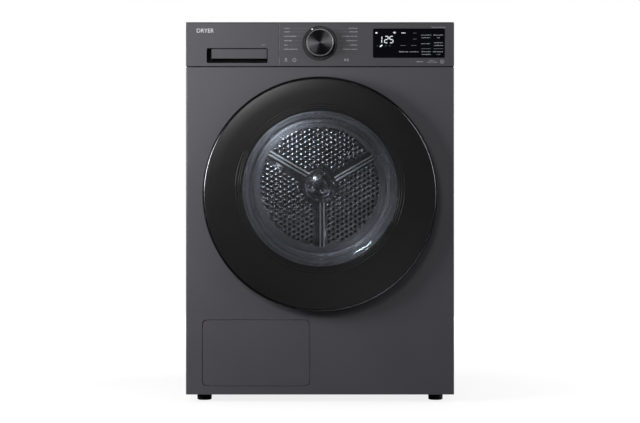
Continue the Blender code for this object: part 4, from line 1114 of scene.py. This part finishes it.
def build_exchanger():
    """Finned coils behind the service flap, with their copper bends."""
    plate, wall, bend = 0.00030, 0.0012, 0.0035
    for node in ("evaporator", "condenser"):
        low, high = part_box(node)
        bm = bmesh.new()
        x = low.x + 0.006
        while x < high.x - 0.006:
            block_into(bm, (x, low.y, low.z), (x + plate, high.y, high.z))
            x += 0.0026
        for side in (low.x, high.x - wall):
            block_into(bm, (side, low.y, low.z), (side + wall, high.y, high.z))
        finish_piece(f"{node}_fins", bm, FIN_METAL, "cabinet", (node,))
        bm = bmesh.new()
        z = low.z + 0.020
        while z < high.z - 0.012:
            for y in (low.y + 0.020, high.y - 0.020):
                block_into(bm, (low.x + wall, y - bend, z - bend), (high.x - wall, y + bend, z + bend), 0.0030, 3)
            z += 0.026
        finish_piece(f"{node}_tubes", bm, COPPER, "cabinet")


CARRIED_OVER = (
    (PAINT, 0.0010, 3, 35, "side_panel_left side_panel_right"),
    (PAINT, 0.0012, 3, 35, "top_cover"),
    (PAINT, 0.0003, 1, 35, "rear_panel"),
    (PAINT, 0.0006, 2, 35, "service_flap"),
    (PANEL_PAINT, 0.0, 3, 35, "control_fascia"),
    (PANEL_PAINT, 0.00025, 2, 35, "tank_front"),
    (PALE, 0.0012, 2, 35, "tank_body"),
    (PALE, 0.0006, 2, 35, "tank_cover"),
    (PALE, 0.0005, 1, 35, "tank_guide"),
    (PALE, 0.0085, 5, 20, "drum_lifter_1 drum_lifter_2 drum_lifter_3"),
    (RING_BLACK, 0.0, 3, 35, "door_frame"),
    (BLACK, 0.0006, 2, 35, "door_back_frame door_latch_housing lint_filter drain_spigot mains_inlet"),
    (BLACK, 0.0008, 2, 35, "base_tray"),
    (BLACK, 0.0, 3, 35, "compressor fan_wheel"),
    (ZINC, 0.0006, 2, 35, "hinge_leaf latch_hook"),
    (ZINC, 0.0005, 2, 35, "hinge_bracket"),
    (ZINC, 0.0004, 1, 35, "flap_hinge_bracket"),
    (ZINC, 0.0, 3, 35, "drum_shaft motor_pulley rear_bearing"),
    (GREY, 0.0006, 2, 35, "front_bulkhead"),
    (GREY, 0.0, 3, 35, "rear_bulkhead fan_housing idler_pulley"),
    (GREY, 0.0008, 2, 35, "exchanger_duct"),
    (GREY, 0.0010, 3, 35, "drain_pump"),
    (FIN_METAL, 0.0, 3, 35, "motor_housing"),
    (RUBBER, 0.0004, 1, 35, "drive_belt"),
    (RUBBER, 0.0, 3, 60, "tank_fill_hose"),
    (RUBBER, 0.0008, 3, 35, "support_roller_left support_roller_right"),
    (BOARD, 0.0003, 1, 35, "control_board"),
)

for material, edge, segments, angle, names in CARRIED_OVER:
    for node in names.split():
        dress(node, material, edge, segments, angle)
build_front()
build_rear()
build_feet()
build_panel()
build_knob()
build_drawer()
build_door()
build_drum()
build_loading_mouth()
build_exchanger()


# ---------------------------------------------------------------- stage, light and camera
def build_stage():
    """A pale floor that fades into the white ground; its glow is for the camera alone."""
    bm = bmesh.new()
    bmesh.ops.create_grid(bm, x_segments=1, y_segments=1, size=60.0)
    mesh = mesh_from("studio_floor", bm)
    floor = linked("studio_floor", mesh)
    floor.location.z = -0.0001
    floor.visible_glossy = False
    pale = Shader("studio_white", (0.20, 0.20, 0.20), 0.9)
    pale.put("Specular IOR Level", 0.0)
    pale.put("Emission Color", (1, 1, 1, 1))
    gradient = pale.add("ShaderNodeVectorMath", operation="LENGTH")
    pale.links.new(pale.place, gradient.inputs[0])
    glow = pale.span(gradient.outputs["Value"], 0.84, 1.0, 0.5, 2.2)
    path = pale.add("ShaderNodeLightPath")
    seen = pale.add("ShaderNodeMath", operation="MULTIPLY")
    pale.links.new(glow, seen.inputs[0])
    pale.links.new(path.outputs["Is Camera Ray"], seen.inputs[1])
    pale.links.new(seen.outputs["Value"], pale.main.inputs["Emission Strength"])
    mesh.materials.append(pale.material)


def area_light(name, place, target, width, height, power, colour=(1, 1, 1)):
    data = bpy.data.lights.new(name, "AREA")
    data.shape = "RECTANGLE"
    data.size, data.size_y = width, height
    data.energy = power
    data.color = colour
    light = linked(name, data)
    light.location = place
    light.rotation_euler = (Vector(target) - Vector(place)).to_track_quat("-Z", "Y").to_euler()
    light.visible_camera = False


def build_lights():
    """A white ground for the camera, a dim one for the light it gives, and soft lamps."""
    world = bpy.data.worlds.new("studio")
    bpy.context.scene.world = world
    world.use_nodes = True
    tree = world.node_tree
    backdrop = tree.nodes["Background"]
    backdrop.inputs["Color"].default_value = (1, 1, 1, 1)
    backdrop.inputs["Strength"].default_value = 1.0
    dim = tree.nodes.new("ShaderNodeBackground")
    dim.inputs["Color"].default_value = (0.94, 0.95, 1.0, 1)
    dim.inputs["Strength"].default_value = 0.05
    mix = tree.nodes.new("ShaderNodeMixShader")
    path = tree.nodes.new("ShaderNodeLightPath")
    tree.links.new(path.outputs["Is Camera Ray"], mix.inputs["Fac"])
    tree.links.new(dim.outputs["Background"], mix.inputs[1])
    tree.links.new(backdrop.outputs["Background"], mix.inputs[2])
    tree.links.new(mix.outputs["Shader"], tree.nodes["World Output"].inputs["Surface"])

    area_light("key_left", (-1.30, -1.15, 0.80), (-0.1, -0.2, 0.62), 0.8, 0.50, 23.5)
    area_light("high_left", (-0.95, -4.4, 1.9), (0.0, -0.3, 0.6), 1.2, 1.0, 31)
    area_light("fill_right", (1.9, -2.2, 1.3), (0.1, 0.0, 0.5), 0.8, 1.4, 14.5)
    area_light("top_soft", (0.0, 0.1, 2.6), (0.0, 0.0, 0.4), 1.6, 1.2, 24)
    area_light("rear_soft", (0.0, 3.0, 0.60), (0.0, 0.3, 0.5), 1.2, 1.0, 40)
    area_light("side_soft", (2.8, 0.6, 1.1), (0.3, 0.0, 0.5), 1.6, 1.6, 36)
    area_light("glint_high", (-0.95, -4.3, 1.90), WINDOW, 0.26, 0.10, 3.0)
    area_light("glint_left", (-1.50, -1.90, 0.50), WINDOW, 0.06, 0.50, 2.2)
    area_light("glint_right", (1.70, -1.80, 0.62), WINDOW, 0.06, 0.40, 0.9)
    # Small lamps inside the drum; their heights are from the drum's axis.
    for name, place, target, width, height, power, colour in (
        ("drum_glow", (-0.150, 0.13, 0.195), (0.0, 0.27, 0.01), 0.12, 0.03, 0.87, (0.90, 0.95, 1.0)),
        ("drum_glow_front", (-0.150, -0.130, 0.205), (0.0, 0.25, -0.03), 0.10, 0.03, 0.24, (0.88, 0.94, 1.0)),
        ("drum_glow_side", (-0.205, -0.150, -0.050), (0.05, 0.25, -0.03), 0.04, 0.02, 0.12, (0.90, 0.92, 1.0)),
        ("drum_glow_low", (0.14, -0.150, -0.175), (0.0, 0.25, 0.02), 0.10, 0.03, 0.11, (0.86, 0.86, 1.0)),
    ):
        axis = Vector((0, 0, DRUM.z))
        area_light(name, Vector(place) + axis, Vector(target) + axis, width, height, power, colour)


def build_camera():
    data = bpy.data.cameras.new("camera")
    data.sensor_width = 36.0
    data.lens = 100.6
    data.clip_end = 60.0
    camera = linked("camera", data)
    camera.location = (0.0, -4.300, 0.4264)
    camera.rotation_euler = (pi / 2, 0.0, 0.0)
    bpy.context.scene.camera = camera


build_stage()
build_lights()
build_camera()
bpy.context.scene.view_settings.view_transform = "Standard"
